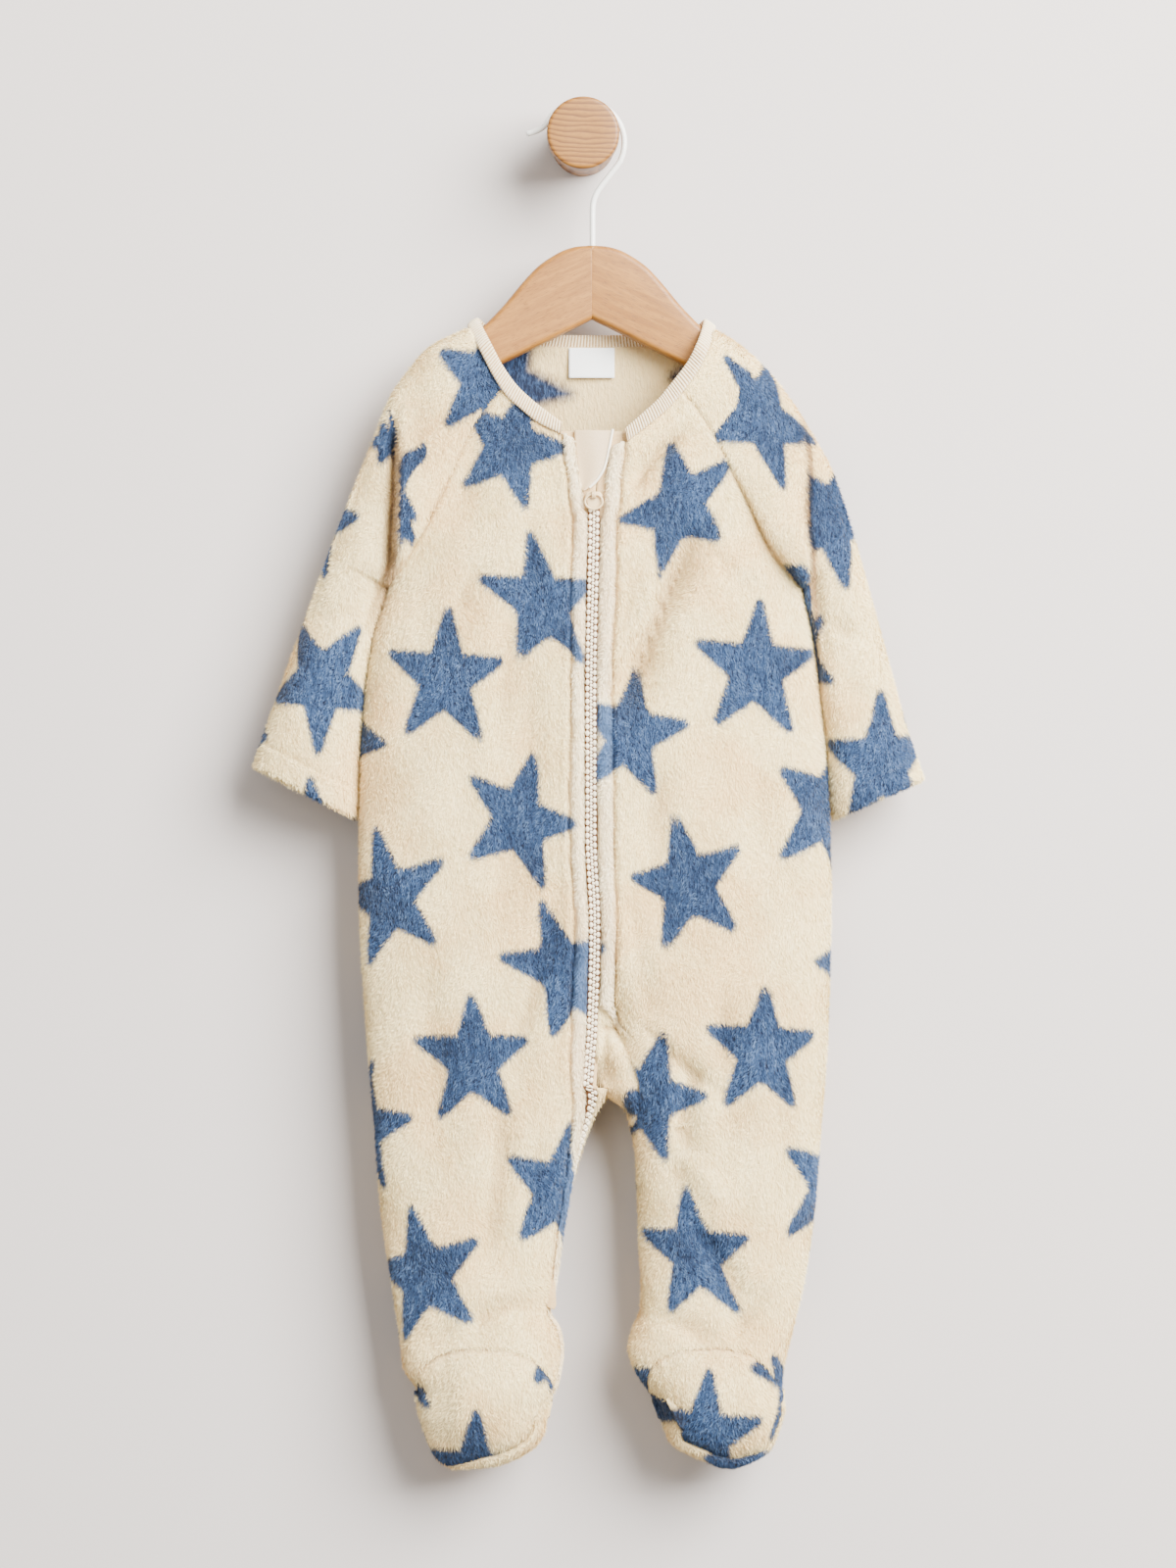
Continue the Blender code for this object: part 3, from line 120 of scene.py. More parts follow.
bodyRows = [  # z, right side seam, left side seam, depth before and behind hangY
    (-100, -80, 90, 15, 11), (-140, -92, 103, 19, 15), (-190, -101, 113, 22, 19),
    (-225, -106, 119, 24, 21), (-250, -108, 121, 25, 22), (-277, -115.5, 126.4, 26, 22),
    (-315, -121, 131.2, 27, 22), (-358, -123, 135, 28, 22), (-412, -123.7, 136.9, 28, 22),
    (-493, -119.5, 135, 26, 21), (-547, -115, 131.2, 23, 19), (-590, -111.8, 128, 22, 18),
    (-628, -106.4, 122.6, 21, 18), (-660, -101.5, 115.5, 22, 20), (-681, -98.8, 110.5, 24, 21),
    (-693, -91.5, 109.5, 25, 20), (-703, -91.5, 111, 24, 18), (-716, -87.7, 107.6, 20, 14),
    (-726, -84, 103, 14, 9), (-732.5, -79.8, 93, 8.5, 5), (-736, -73, 84, 3.5, 2.5)]
innerRows = [  # z, inner edge of the right leg, of the left leg
    (-525.4, 17.8, 17.8), (-540, 7, 24), (-563, -1.5, 29.2), (-579, -5.4, 30),
    (-606, -10.8, 31), (-639, -16.2, 32.4), (-649.6, -18.6, 31.5), (-659, -13.4, 27.7),
    (-669, -11.6, 25.2), (-680, -12.7, 28), (-692, -15.6, 35.5), (-702.6, -19.9, 41.7),
    (-716, -21.6, 45.6), (-722.5, -25.2, 49), (-728, -32, 58), (-732.5, -41, 68.5),
    (-736, -53, 76)]
sideTrack = {"right": Track(bodyRows, 1), "left": Track(bodyRows, 2)}
deepTrack = {-1: Track(bodyRows, 3), 1: Track(bodyRows, 4)}
innerTrack = {"right": Track(innerRows, 1), "left": Track(innerRows, 2)}
zipTrack = Track([(-163, 5.9), (-207, 5.9), (-304, 4.3), (-385, 4.3), (-434, 6.3), (-493, 5.2),
                  (-509, 4), (-526, 2.6)])
zipArcTrack = Track([(-550, 7), (-563, 4.2), (-574, 2.2), (-606, -1), (-650, -3), (-700, -4)])
openingTrack = {"right": Track([(-163, -5.4), (-182, -3), (-196, -0.6), (-207, 0.3), (-212, 1.9)]),
                "left": Track([(-163, 16.8), (-182, 13.9), (-196, 12.2), (-207, 11.7),
                               (-212, 10.1)])}
raglanFront = {
    "right": [(-46, -141), (-58.9, -158.2), (-65.3, -170.6), (-74, -191.2), (-81, -205.7),
              (-89.1, -220.3), (-97.2, -232.7), (-108, -250)],
    "left": [(54.4, -141), (67.2, -158.2), (74.3, -170.6), (84.4, -191.2), (91.8, -205.7),
             (99, -220.3), (106.4, -232.7), (121, -250)]}
raglanBack = {
    "right": [(-50, -112.5), (-62, -140), (-74, -170), (-87, -200), (-98, -225), (-108, -250)],
    "left": [(60, -112.5), (72, -140), (84, -170), (98, -200), (110, -225), (121, -250)]}
zipHalf = 3.75           # from the zip's centre to the fleece's edge


def section(t, power=2.4):
    # A flattened half circle: 1 at t = 0, 0 at t = 1 and -1.
    return np.maximum(0, 1 - np.abs(t) ** power) ** (1 / power)


def innerX(side, z):
    return innerTrack[side](np.minimum(z, crotchZ))


def legShare(z):
    return ease(-z, 430, -crotchZ)      # 0 on the body, 1 where the legs have parted


def depthShare(x, z):
    # Depth of the hollow form beside its middle: 1 at the middle, 0 at the side seams.
    x, z = np.broadcast_arrays(np.asarray(x, float), np.asarray(z, float))
    right, left = sideTrack["right"](z), sideTrack["left"](z)
    legs = legShare(z)
    body = section((2 * x - right - left) / (left - right))
    parts = []
    for side in ("right", "left"):
        outer, inner = sideTrack[side](z), innerX(side, z)
        parts.append(section((2 * x - outer - inner) / np.abs(inner - outer)))
    leg = np.where(x <= crotchX, parts[0], parts[1])
    return (1 - legs) * body + legs * leg


# Creases: where each starts and ends, its half width, its depth into the cloth (a ridge is below 0).
creases = {
    "front": [
        (57, -224, 22, -312, 9, 10), (52, -166, 28, -193, 4, 5.0), (38, -246, 17, -300, 6, -4.5),
        (74, -208, 46, -262, 8, 3.4), (-42, -270, -40, -440, 11, 3.4), (-30, -300, -24, -400, 8, 2.6),
        (-88, -250, -96, -330, 9, 4.0), (-54, -238, -70, -262, 6, 2.6), (96, -300, 104, -420, 11, 3.4),
        (72, -232, 104, -262, 6, 3.0), (-30, -212, -24, -262, 7, 1.8), (60, -518, 50, -578, 8, 5.0),
        (34, -492, 74, -530, 5, 3.2), (48, -552, 78, -592, 7, -3.0), (-44, -545, -50, -620, 9, 4.0),
        (-22, -552, -34, -600, 5, 2.8), (62, -600, 90, -650, 8, 4.0), (18, -500, 21, -530, 5, -1.6),
        (-60, -330, -68, -420, 13, 2.6), (-14, -420, -40, -520, 7, 2.6), (40, -350, 46, -450, 12, 2.6),
        (26, -430, 40, -486, 6, 2.4), (78, -470, 84, -560, 11, 3.0), (-84, -460, -80, -560, 11, 3.0),
        (-30, -640, -62, -656, 6, 3.4), (-70, -655, -90, -668, 6, 2.6), (44, -652, 74, -664, 6, 3.0),
        (100, -636, 84, -662, 7, 2.6), (-98, -255, -104, -300, 5, 3.0), (112, -258, 116, -300, 5, 2.8),
        (108, -480, 112, -600, 9, 2.6), (-58, -168, -72, -214, 7, 2.2), (-102, -600, -96, -660, 8, 2.4)],
    "back": [
        (-40, -230, -22, -330, 10, 5.6), (62, -250, 40, -360, 10, 5.0), (8, -360, 12, -480, 9, 4.0),
        (-70, -430, -50, -520, 9, 4.6), (84, -440, 70, -530, 9, 4.4), (-66, -590, -60, -650, 8, 3.8),
        (74, -590, 80, -650, 8, 3.6), (-80, -300, -86, -380, 12, 2.8), (96, -330, 92, -420, 11, 3.0),
        (20, -180, 26, -230, 11, 2.2), (-36, -655, -70, -668, 6, 2.8), (50, -655, 86, -668, 6, 2.8)]}


def creaseDepth(rows, x, z, gain, wander, phase, spread):
    # phase: the column that sets how the line wanders; spread: how much it widens on its way.
    total = np.zeros(np.broadcast(x, z).shape)
    for row in rows:
        x1, z1, x2, z2, wide, deep = row
        run = np.array([x2 - x1, z2 - z1], float)
        long = np.hypot(*run)
        t = ((x - x1) * run[0] + (z - z1) * run[1]) / long**2
        off = ((x - x1) * run[1] - (z - z1) * run[0]) / long + wander * np.sin(t * 5 + row[phase])
        fade = window(t, (-0.25, 0.25), (0.7, 1.25))
        swell = wide * (1 + spread * (np.clip(t, 0, 1) - 0.5))
        total += gain * deep * fade * bell(off, swell)
    return total


def ripple(x, z, seed):
    # Slow unevenness of cloth that hangs, in mm.
    a = np.sin(x * 0.062 + 2.1 * seed + 0.8 * np.sin(z * 0.013 + seed))
    b = np.sin(z * 0.021 + x * 0.017 + seed * 1.7)
    c = np.sin(x * 0.11 - z * 0.031 + seed * 0.6) * np.sin(z * 0.043 + seed)
    return 0.55 * a + 0.35 * b + 0.35 * c


def clothY(way, x, z):
    # Outer side of the cloth before the hanging plane (way -1) or behind it (way 1).
    share = depthShare(x, z)
    soft = np.minimum(share, 1) ** 3
    dips = creaseDepth(creases["front" if way < 0 else "back"], x, z, 1.25, 1.2, 0, 0.5)
    depth = deepTrack[way](z) * share - (dips + ripple(x, z, way + 2)) * soft
    return hangY + way * (np.maximum(depth, 0) + 0.15)


def clothAt(way, x, z):
    return float(clothY(way, np.array(x), np.array(z)))


def onCloth(way, x, z):
    z = z + 0 * x
    return np.stack([x, clothY(way, x, z), z], -1)


def aroundLeg(side, z, turn):
    # Across, at an angle round a leg's section: 0 at the side seam, pi at the inner side.
    outer, inner = sideTrack[side](z), innerX(side, z)
    return outer + (inner - outer) * (1 - np.cos(turn)) / 2


def zipFrame(z, samples=400):
    # Section at a height with its running length, and where the zip's centre is along it.
    if z > crotchZ:
        x = np.linspace(float(sideTrack["right"](z)), float(sideTrack["left"](z)), 700)
        y = clothY(-1, x, z)
        run = runOf(np.stack([x, y], -1))
        return x, y, run, float(np.interp(zipTrack(z), x, run))
    x = aroundLeg("right", z, np.linspace(0, math.pi, samples))
    y = np.concatenate([clothY(-1, x, z), clothY(1, x, z)[-2::-1]])
    x = np.concatenate([x, x[-2::-1]])
    run = runOf(np.stack([x, y], -1))
    back = float(zipArcTrack(z))
    if z > archZ:
        topX, _, topRun, topAt = zipFrame(crotchZ + 0.01)
        top = float(np.interp(crotchX, topX, topRun)) - topAt
        t = (z - crotchZ) / (archZ - crotchZ)
        back = top + (2 * t - t * t) * (7 - top)
    return x, y, run, run[samples - 1] - back


zipZ = np.concatenate([np.arange(-163, crotchZ, -3.0), [crotchZ + 0.1],
                       np.arange(crotchZ - 0.3, notchZ, -3.0), [notchZ]])
zipSections = [zipFrame(z) for z in zipZ]
print("outlines ready")


def addObject(name, mesh):
    mesh.polygons.foreach_set("use_smooth", np.ones(len(mesh.polygons), bool))
    ob = bpy.data.objects.new(name, mesh)
    bpy.context.scene.collection.objects.link(ob)
    return ob


def fillMesh(name, points, faces, attributes=None, uv=None):
    mesh = bpy.data.meshes.new(name)
    points = np.asarray(points, np.float32) * mm
    faces = np.asarray(faces, np.int32)
    sides = faces.shape[1]
    mesh.vertices.add(len(points))
    mesh.vertices.foreach_set("co", points.ravel())
    mesh.loops.add(faces.size)
    mesh.loops.foreach_set("vertex_index", faces.ravel())
    mesh.polygons.add(len(faces))
    mesh.polygons.foreach_set("loop_start", np.arange(len(faces), dtype=np.int32) * sides)
    for key, values in (attributes or {}).items():
        layer = mesh.attributes.new(key, "FLOAT", "POINT")
        layer.data.foreach_set("value", np.asarray(values, np.float32).ravel())
    if uv is not None:
        mesh.uv_layers.new(name="OFBake").data.foreach_set("uv", uv.astype(np.float32).ravel())
    mesh.update(calc_edges=True)
    mesh.validate()
    return addObject(name, mesh)


def gridFaces(rows, cols, start=0, flip=False, loop=False):
    i, j = np.meshgrid(np.arange(rows - 1), np.arange(cols if loop else cols - 1), indexing="ij")
    k = (j + 1) % cols
    a, b = start + i * cols + j, start + (i + 1) * cols + j
    c, d = start + (i + 1) * cols + k, start + i * cols + k
    quads = np.stack([a, b, c, d], -1).reshape(-1, 4)
    return quads[:, ::-1] if flip else quads


def joinGrids(grids, flips):
    # Several grids of points as one list of points and faces.
    faces, start = [], 0
    for grid, flip in zip(grids, flips):
        faces.append(gridFaces(*grid.shape[:2], start, flip))
        start += grid[..., 0].size
    return np.concatenate([grid.reshape(-1, 3) for grid in grids]), np.concatenate(faces)


def addWall(ob, thick):
    wall = ob.modifiers.new("wall", "SOLIDIFY")
    wall.thickness = thick * mm
    wall.offset = -1.0
    wall.use_rim = True


def walled(name, grid, thick):
    # One grid of points as cloth of this thickness.
    ob = fillMesh(name, grid.reshape(-1, 3), gridFaces(*grid.shape[:2]))
    addWall(ob, thick)
    return ob


def weld(ob, distance=0.02):
    bm = bmesh.new()
    bm.from_mesh(ob.data)
    bmesh.ops.remove_doubles(bm, verts=bm.verts, dist=distance * mm)
    bmesh.ops.dissolve_degenerate(bm, edges=bm.edges, dist=0.00001)
    bm.to_mesh(ob.data)
    bm.free()


starLook = {"waist": 0.375, "tipIn": 1.4, "uneven": 0.05, "round": 2.6, "wide": 0.95, "high": 1.08}


def starDistance(u, v, turn, size, seed):
    # Signed distance in mm to a rounded five-pointed star, below 0 inside it.
    wobble = np.random.default_rng(seed)
    angles = turn + np.arange(10) * math.pi / 5
    reach = np.where(np.arange(10) % 2 == 0, size - starLook["tipIn"], size * starLook["waist"])
    reach = reach * (1 + wobble.uniform(-starLook["uneven"], starLook["uneven"], 10))
    px, py = reach * np.sin(angles), reach * np.cos(angles)
    best = np.full(u.shape, 1e9)
    inside = np.zeros(u.shape, bool)
    for i in range(10):
        j = (i + 1) % 10
        ex, ey = px[j] - px[i], py[j] - py[i]
        wx, wy = u - px[i], v - py[i]
        t = np.clip((wx * ex + wy * ey) / (ex * ex + ey * ey), 0, 1)
        best = np.minimum(best, np.hypot(wx - ex * t, wy - ey * t))
        crosses = ((py[i] > v) != (py[j] > v)) & (
            u < (px[j] - px[i]) * (v - py[i]) / (py[j] - py[i] + 1e-9) + px[i])
        inside ^= crosses
    return np.where(inside, -best, best) - starLook["round"]


def starField(grid, rows):
    # The print lies flat on the cloth, so it is measured along each row from the star's centre.
    x, z = grid[..., 0], grid[..., 2]
    run = runOf(grid[..., :2])
    middle = x[len(x) // 2]
    way = 1 if middle[len(middle) // 3] > middle[0] else -1
    best = np.full(x.shape, 40.0)
    for number, row in enumerate(rows):
        sx, sz, turn, size, further, squeeze, skew = row + (0.0, 1.0, 0.0)[len(row) - 4:]
        for i in np.nonzero((np.abs(z - sz) < 1.1 * size + 10).any(axis=1))[0]:
            turnAt = int(np.argmax(x[i] * way))
            part, length = x[i, :turnAt + 1] * way, run[i, :turnAt + 1]
            if turnAt < 2:
                part, length = x[i] * way, run[i]
            at = np.interp(sx * way, np.maximum.accumulate(part), length)
            at += further + max(0, sx * way - part[-1]) - max(0, part[0] - sx * way)
            u = (run[i] - at) * way
            close = (np.abs(u) < size + 8) & (np.abs(z[i] - sz) < 1.1 * size + 8)
            if close.any():
                a = u[close] / (starLook["wide"] * squeeze)
                b = (z[i] - sz)[close] / starLook["high"]
                found = starDistance(a - skew * b, b - skew * a, math.radians(turn), size, number + 5)
                best[i, close] = np.minimum(best[i, close], found)
    return best


# Stars: across, up, turn in degrees, reach, then how much further round the cloth the centre lies,
# how wide and how skewed it is.
stars = {
    "frontRight": [
        (-40, -172.5, 19, 33.5), (-75.8, -299.4, 3, 35.3), (-22, -258.5, -5, 35, 0, 1, -0.13),
        (-133, -331, 25, 35), (-35, -377, 18, 34.5, 0, 1, -0.07), (-105.8, -420.4, -14, 35),
        (-9.2, -461, -15, 36.5, 0, 1, -0.15), (-60.3, -509.3, -1, 34.5), (-117.5, -548, 7, 34.5),
        (-87, -627.5, -13, 34.5, 0, 1.02), (-13.5, -582, 13, 35)],
    "frontLeft": [
        (52.8, -206, -18, 34.5, 0, 1, 0.17), (95, -294.5, 4, 35, 0, 1.06), (24.6, -330.5, 9, 34),
        (134, -371, 14, 39), (57.5, -412, -13, 34.5), (153, -455.5, -18, 35),
        (-13.5, -447.7, 18, 27), (98.4, -504.5, 2.5, 33.5), (36, -530.5, 16, 34),
        (131, -579.5, 15, 36), (62.2, -616.5, -4, 34, 0, 1, -0.11), (112, -701.5, -36, 33),
        (26, -691, -18, 18)],
    "back": [
        (-44, -137, 24, 40), (71, -126, 40, 24), (14, -205, 2, 35), (-58, -214, -14, 34.5),
        (88, -216, 11, 34.5), (-14, -272, 16, 34.5), (52, -292, -8, 35), (-88, -292, 6, 34.5),
        (118, -308, 20, 34), (-40, -346, -11, 35), (24, -366, 4, 34.5), (84, -382, 14, 35),
        (-104, -374, 18, 34), (-62, -430, 8, 35), (4, -438, -16, 34), (58, -458, 10, 34.5),
        (122, -466, -6, 34), (-108, -502, -14, 34), (-30, -512, 14, 34), (86, -538, 5, 34),
        (-70, -578, 2, 34.5), (48, -600, 18, 33), (118, -616, -12, 33.5), (-20, -640, -9, 32),
        (-92, -652, 15, 33)],
    "sleeveRight": [
        (-149.5, -214, 11, 31), (-144, -301, -32, 36), (-147.4, -392.6, -5, 35),
        (-108.3, -169.5, -14, 10.5), (-120, -160, 14, 34, 52), (-150, -262, -8, 34, 48),
        (-165, -330, 20, 34, 44)],
    "capRight": [
        (-53.5, -135.5, 10, 33), (-108.4, -195, -14, 42, -9, 0.55), (-104.2, -196, 2, 31, 0, 0.5),
        (-101.8, -201, 36, 30, 0, 0.42)],
    "sleeveLeft": [
        (137.7, -211, 23, 38), (122, -288, -30, 28), (164.7, -346.1, -2, 36),
        (122, -192, 8, 34, 58), (152, -262, -14, 34, 60), (168, -300, 16, 34, 42)],
    "capLeft": [(97.6, -155.5, 26, 36, 0, 1, -0.2), (130.5, -249, -2, 31, -5)],
    "vampRight": [(-60.5, -738.5, 3.5, 33.5), (-102, -677, -16, 32.5), (-19, -677, 20, 14)],
    "vampLeft": [(67, -715.5, 4, 33), (115, -683, -10, 35)],
    "soleRight": [(-90, -722, 0, 12), (-46, -690, 12, 24)],
    "soleLeft": [(90, -737, 0, 27), (33, -700, 20, 31)]}


class Path:
    # Smooth line through points, read by the share of its length.
    def __init__(self, points):
        points = np.asarray(points, float)
        run = runOf(points)
        self.length = run[-1]
        self.tracks = [Track(list(zip(run, points[:, k]))) for k in range(points.shape[1])]

    def __call__(self, share):
        at = np.asarray(share, float) * self.length
        return np.stack([track(at) for track in self.tracks], -1)


# The neck from the zip outwards: its seam across and up, then the binding's free edge.
neckRows = {
    "right": [(-11.7, -165.6, -11.6, -159.4), (-24.7, -159, -20.1, -153.2),
              (-34, -151.6, -28.5, -146.5), (-42.4, -143.6, -36.8, -138.4),
              (-49.8, -132, -44.6, -127.2), (-56.3, -119, -51, -114.6), (-62.5, -105.8, -56.8, -101.9)],
    "left": [(24.1, -169.4, 23.2, -162.6), (33.9, -161.8, 30.6, -156), (44.1, -153.4, 40, -147.6),
             (51.2, -146.2, 46.2, -140.4), (62.4, -131.1, 57, -126.3), (68, -119, 62.6, -114.6),
             (72, -106.6, 66, -102.6)],
    "back": [(-50, -112.5, -47, -106.2), (-30, -114.6, -29, -108), (5, -115.4, 5, -108.8),
             (40, -114.6, 39, -108), (60, -112.5, 57, -106.2)]}
neckSeam = {side: [row[:2] for row in rows[::-1]] for side, rows in neckRows.items()}
neckSeam["right"].append((-5.2, -167.8))
neckSeam["left"].append((15.9, -172))
fleece = {"columns": 52, "step": 2.9, "gap": 0.12, "wall": 2.2, "tuck": 0.9, "footRows": 28}


def footSeamZ(t):
    return notchZ + 24.5 * (1 - np.abs(t) ** 3)


def heelSeamZ(t):
    return notchZ + 10 * (1 - t * t)


def coons(top, bottom, left, right):
    # Points between four edge lines.
    v = np.linspace(0, 1, len(left))[:, None, None]
    across = [((line[:, 0] - line[0, 0]) / (line[-1, 0] - line[0, 0]))[None, :, None]
              for line in (top, bottom)]
    u = across[0] * (1 - v) + v * across[1]
    return ((1 - v) * top[None] + v * bottom[None] + (1 - u) * left[:, None] + u * right[:, None]
            - (1 - u) * (1 - v) * top[0] - u * (1 - v) * top[-1]
            - (1 - u) * v * bottom[0] - u * v * bottom[-1])


# The left front's inner edge curls over the flap of the back that fills the crotch.
flapLine = Track([(-478, 11.2), (-484, 13.6), (-492, 17.6), (-500, 22.0), (-508, 26.2), (-516, 29.2),
                  (-524, 30.9), (-532, 30.8), (-540, 29.0), (-548, 26.0)])


def zipSideX(side, z):
    # The front's edge beside the zip above the crotch.
    sign = outward[side]
    edge = np.where(z > closedZ, openingTrack[side](z), zipTrack(z) + sign * zipHalf)
    if side == "left":
        edge = np.where(z < -482, np.maximum(edge, flapLine(z)), edge)
    return edge


def edgeTurn(side, arcPast):
    # Where a front ends at each height, as an angle round its leg's section.
    turns = []
    for z, (x, _, run, centre) in zip(zipZ[::-1], zipSections[::-1]):
        if z <= crotchZ and side == "right":
            angle = np.linspace(0, 2 * math.pi, len(x))
            turns.append(float(np.interp(centre + arcPast, run, angle)))
            continue
        outer, inner = float(sideTrack[side](z)), float(innerX(side, z))
        edge = max(float(flapLine(z)), inner) if z > -545 else inner
        edge = float(zipSideX(side, z)) if z > crotchZ else edge
        turns.append(math.acos(np.clip(1 - 2 * (edge - outer) / (inner - outer), -1, 1)))
    return lambda z: np.interp(z, zipZ[::-1], turns)


frontEnd = {"right": edgeTurn("right", -zipHalf), "left": edgeTurn("left", zipHalf)}
backStart = edgeTurn("right", zipHalf)


def frontPoint(side, z, t):
    # t: 0 at the side seam, 1 at the edge beside the zip.
    outer, last = sideTrack[side](z), frontEnd[side](z)
    edge = np.where(z > crotchZ, zipSideX(side, z), aroundLeg(side, z, last))
    legX = outer + (edge - outer) * (1 - np.cos(last * t)) / (1 - np.cos(last))
    bodyX = outer + (edge - outer) * (1 - np.cos(t * math.pi / 2))
    legs = legShare(z)
    return onCloth(-1, (1 - legs) * bodyX + legs * legX, z)


# Shares across a front, closer together beside the zip.
frontShares = np.concatenate([np.linspace(0, 0.9, fleece["columns"] - 16),
                              np.linspace(0.9, 1, 17)[1:]])


def bentRows(point, seamZ, side, count, shares=np.linspace(0, 1, fleece["columns"])):
    # Rows that bend from the level ankle to the foot's seam.
    t = shares[None]
    v = np.linspace(0, 1, count)[1:, None]
    z = ankleZ + v * (seamZ(0.0) - ankleZ) + 0 * t
    for _ in range(5):
        x = point(z, t)[..., 0]
        outer, inner = sideTrack[side](z), innerX(side, z)
        across = np.clip(2 * (x - outer) / (inner - outer) - 1, -1, 1)
        z = ankleZ + v * (seamZ(across) + fleece["gap"] - ankleZ)
    return point(z, t)


def levels(top, low):
    # Heights of the cloth's rows.
    return np.linspace(top, low, int(abs(top - low) / fleece["step"]) + 2)


hem = {"right": 7.6, "left": 8.6, "groove": 2.3, "roll": 1.5, "tuck": 1.6}


def zipHem(grid, side):
    # The fleece is turned in at the zip and topstitched: a soft flat roll with a groove beside it.
    # Gives the bent grid, the stitched line and the roll as shares of 0 to 1.
    run = runOf(grid[:, ::-1, :2])[:, ::-1]
    z = grid[..., 2]
    held = np.where(z > crotchZ + 42, 1.0,
                    ease(z, crotchZ + 24, crotchZ + 42) if side == "left" else 1.0)
    at = hem[side] + 0.4 * np.sin(z * 0.05 + 1) + 0.25 * np.sin(z * 0.31)
    stitch = bell(run - at, 1.15)
    roll = np.where(run < at, np.sin(np.clip(run / at, 0, 1) * math.pi), 0)
    uneven = 0.8 + 0.35 * np.sin(z * 0.13 + 0.6) * np.sin(z * 0.037)
    grid[..., 1] += held * (stitch * (hem["groove"] + 0.35 * np.sin(z * 2.1))
                            - roll * hem["roll"] * uneven + hem["tuck"] * (1 - ease(run, 0, 1.6)))
    grid[..., 1] -= held * 0.6 * bell(run - at - 3.2, 1.8)
    return grid, held * bell(run - at, 0.75), held * (1 - ease(run, at - 1.4, at))


def frontGrid(side):
    # One front: yoke, body and leg as one grid, with its stitched line and turned-in edge.
    sign = outward[side]
    t = frontShares[None]
    shares = 1 - np.cos(t[0] * math.pi / 2)
    seam = Path(raglanFront[side])(np.linspace(0, 1, 48)) + (-sign * fleece["gap"], 0)
    path = [p for p in neckSeam[side] if p[1] < -140]
    top = Path([seam[0]] + path)(shares)
    under = frontPoint(side, np.full_like(t, underarmZ), t)[0]
    corner = np.array(neckSeam[side][-1])
    heights = np.linspace(corner[1], underarmZ, 48)
    edge = np.stack([zipSideX(side, heights), heights], -1)
    edge[0] = corner
    bottom = under[:, [0, 2]].copy()
    bottom[0, 0] = seam[-1][0]
    yoke = coons(top, bottom, seam, edge)
    yoke = onCloth(-1, yoke[..., 0], yoke[..., 1])
    body = frontPoint(side, levels(underarmZ, ankleZ)[1:, None], t)
    foot = bentRows(lambda z, u: frontPoint(side, z, u), footSeamZ, side, fleece["footRows"],
                    frontShares)
    near = np.hypot(yoke[..., 0] - yoke[:, :1, 0], yoke[..., 2] - yoke[:, :1, 2])
    yoke[..., 1] += 1.3 * fleece["tuck"] * (1 - ease(near, 0, 2.6))
    grid, stitched, turned = zipHem(np.concatenate([yoke, body, foot]), side)
    # the raglan seam is marked like a stitched line: stitching colour and painted shade
    stitched[:len(yoke)] += 0.6 * (1 - ease(near, 0.2, 1.6))
    if side == "right":
        # the rows run on smoothly where the legs part
        soft = (1 - ease(np.abs(grid[1:-1, :, 2:] + 528), 14, 28)) * 0.5
        for _ in range(30):
            grid[1:-1, :, :2] += soft * ((grid[2:, :, :2] + grid[:-2, :, :2]) / 2 - grid[1:-1, :, :2])
    return grid, stitched, turned


def leftLegPoint(z, t):
    return onCloth(1, aroundLeg("left", z, t * math.pi), z)


def wrapPoint(z, t):
    # The right leg's back with the strip that comes round the inner side to the zip.
    start = backStart(z)
    turn = start + (np.maximum(math.pi, start + 0.05) - start) * np.clip(t / 0.12, 0, 1)
    turn = turn + (2 * math.pi - turn) * np.clip((t - 0.12) / 0.88, 0, 1)
    x = aroundLeg("right", z, turn)
    y = np.where(turn < math.pi, clothY(-1, x, z), clothY(1, x, z))
    return np.stack([x, y, z + 0 * x], -1)


def backGrids():
    # The back's body, its left leg, and its right leg with the strip beside the zip.
    count = fleece["columns"]
    t = np.linspace(0, 1, count)
    right = Path(raglanBack["right"])(np.linspace(0, 1, 48)) + (fleece["gap"], 0)
    left = Path(raglanBack["left"])(np.linspace(0, 1, 48)) - (fleece["gap"], 0)

    def bodyRows(z):
        legs = legShare(z)
        shares = (1 - legs) * (1 - np.cos(t * math.pi / 2)) + legs * (1 - np.cos(t * math.pi)) / 2
        halves = [sideTrack[s](z) + (crotchX - sideTrack[s](z)) * shares for s in ("left", "right")]
        return onCloth(1, np.concatenate([halves[0], halves[1][:, -2::-1]], 1), z)

    body = bodyRows(levels(underarmZ, crotchZ)[:, None])
    shares = np.linspace(0, 1, 2 * count - 1)
    line = Path([left[0] - (0.2, 0)] + neckSeam["back"][1:-1] + [right[0] + (0.2, 0)])
    bottom = body[0][:, [0, 2]]
    yoke = coons(line(shares), bottom, left, right)
    yoke = onCloth(1, yoke[..., 0], yoke[..., 1])
    heights = levels(crotchZ - 0.6, ankleZ)[:, None]
    leftLeg = leftLegPoint(heights, t[None])
    leftFoot = bentRows(leftLegPoint, heelSeamZ, "left", fleece["footRows"])
    rightLeg = wrapPoint(heights, t[None])
    rightFoot = bentRows(wrapPoint, heelSeamZ, "right", fleece["footRows"])
    topLeft, topRight = body[-1][:count], body[-1][count - 1:]
    first = rightLeg[0]
    tip = int(np.argmax(first[:, 0]))
    spread = np.clip((np.arange(count) - tip) / (count - 1 - tip), 0, 1) * (count - 1)
    join = np.stack([np.interp(spread, np.arange(count), topRight[:, k]) for k in range(3)], -1)
    join[:tip] = first[:tip] + (0, 0, 0.02)
    return [np.concatenate([yoke[:-1], body]), np.concatenate([topLeft[None], leftLeg, leftFoot]),
            np.concatenate([join[None], rightLeg, rightFoot])]


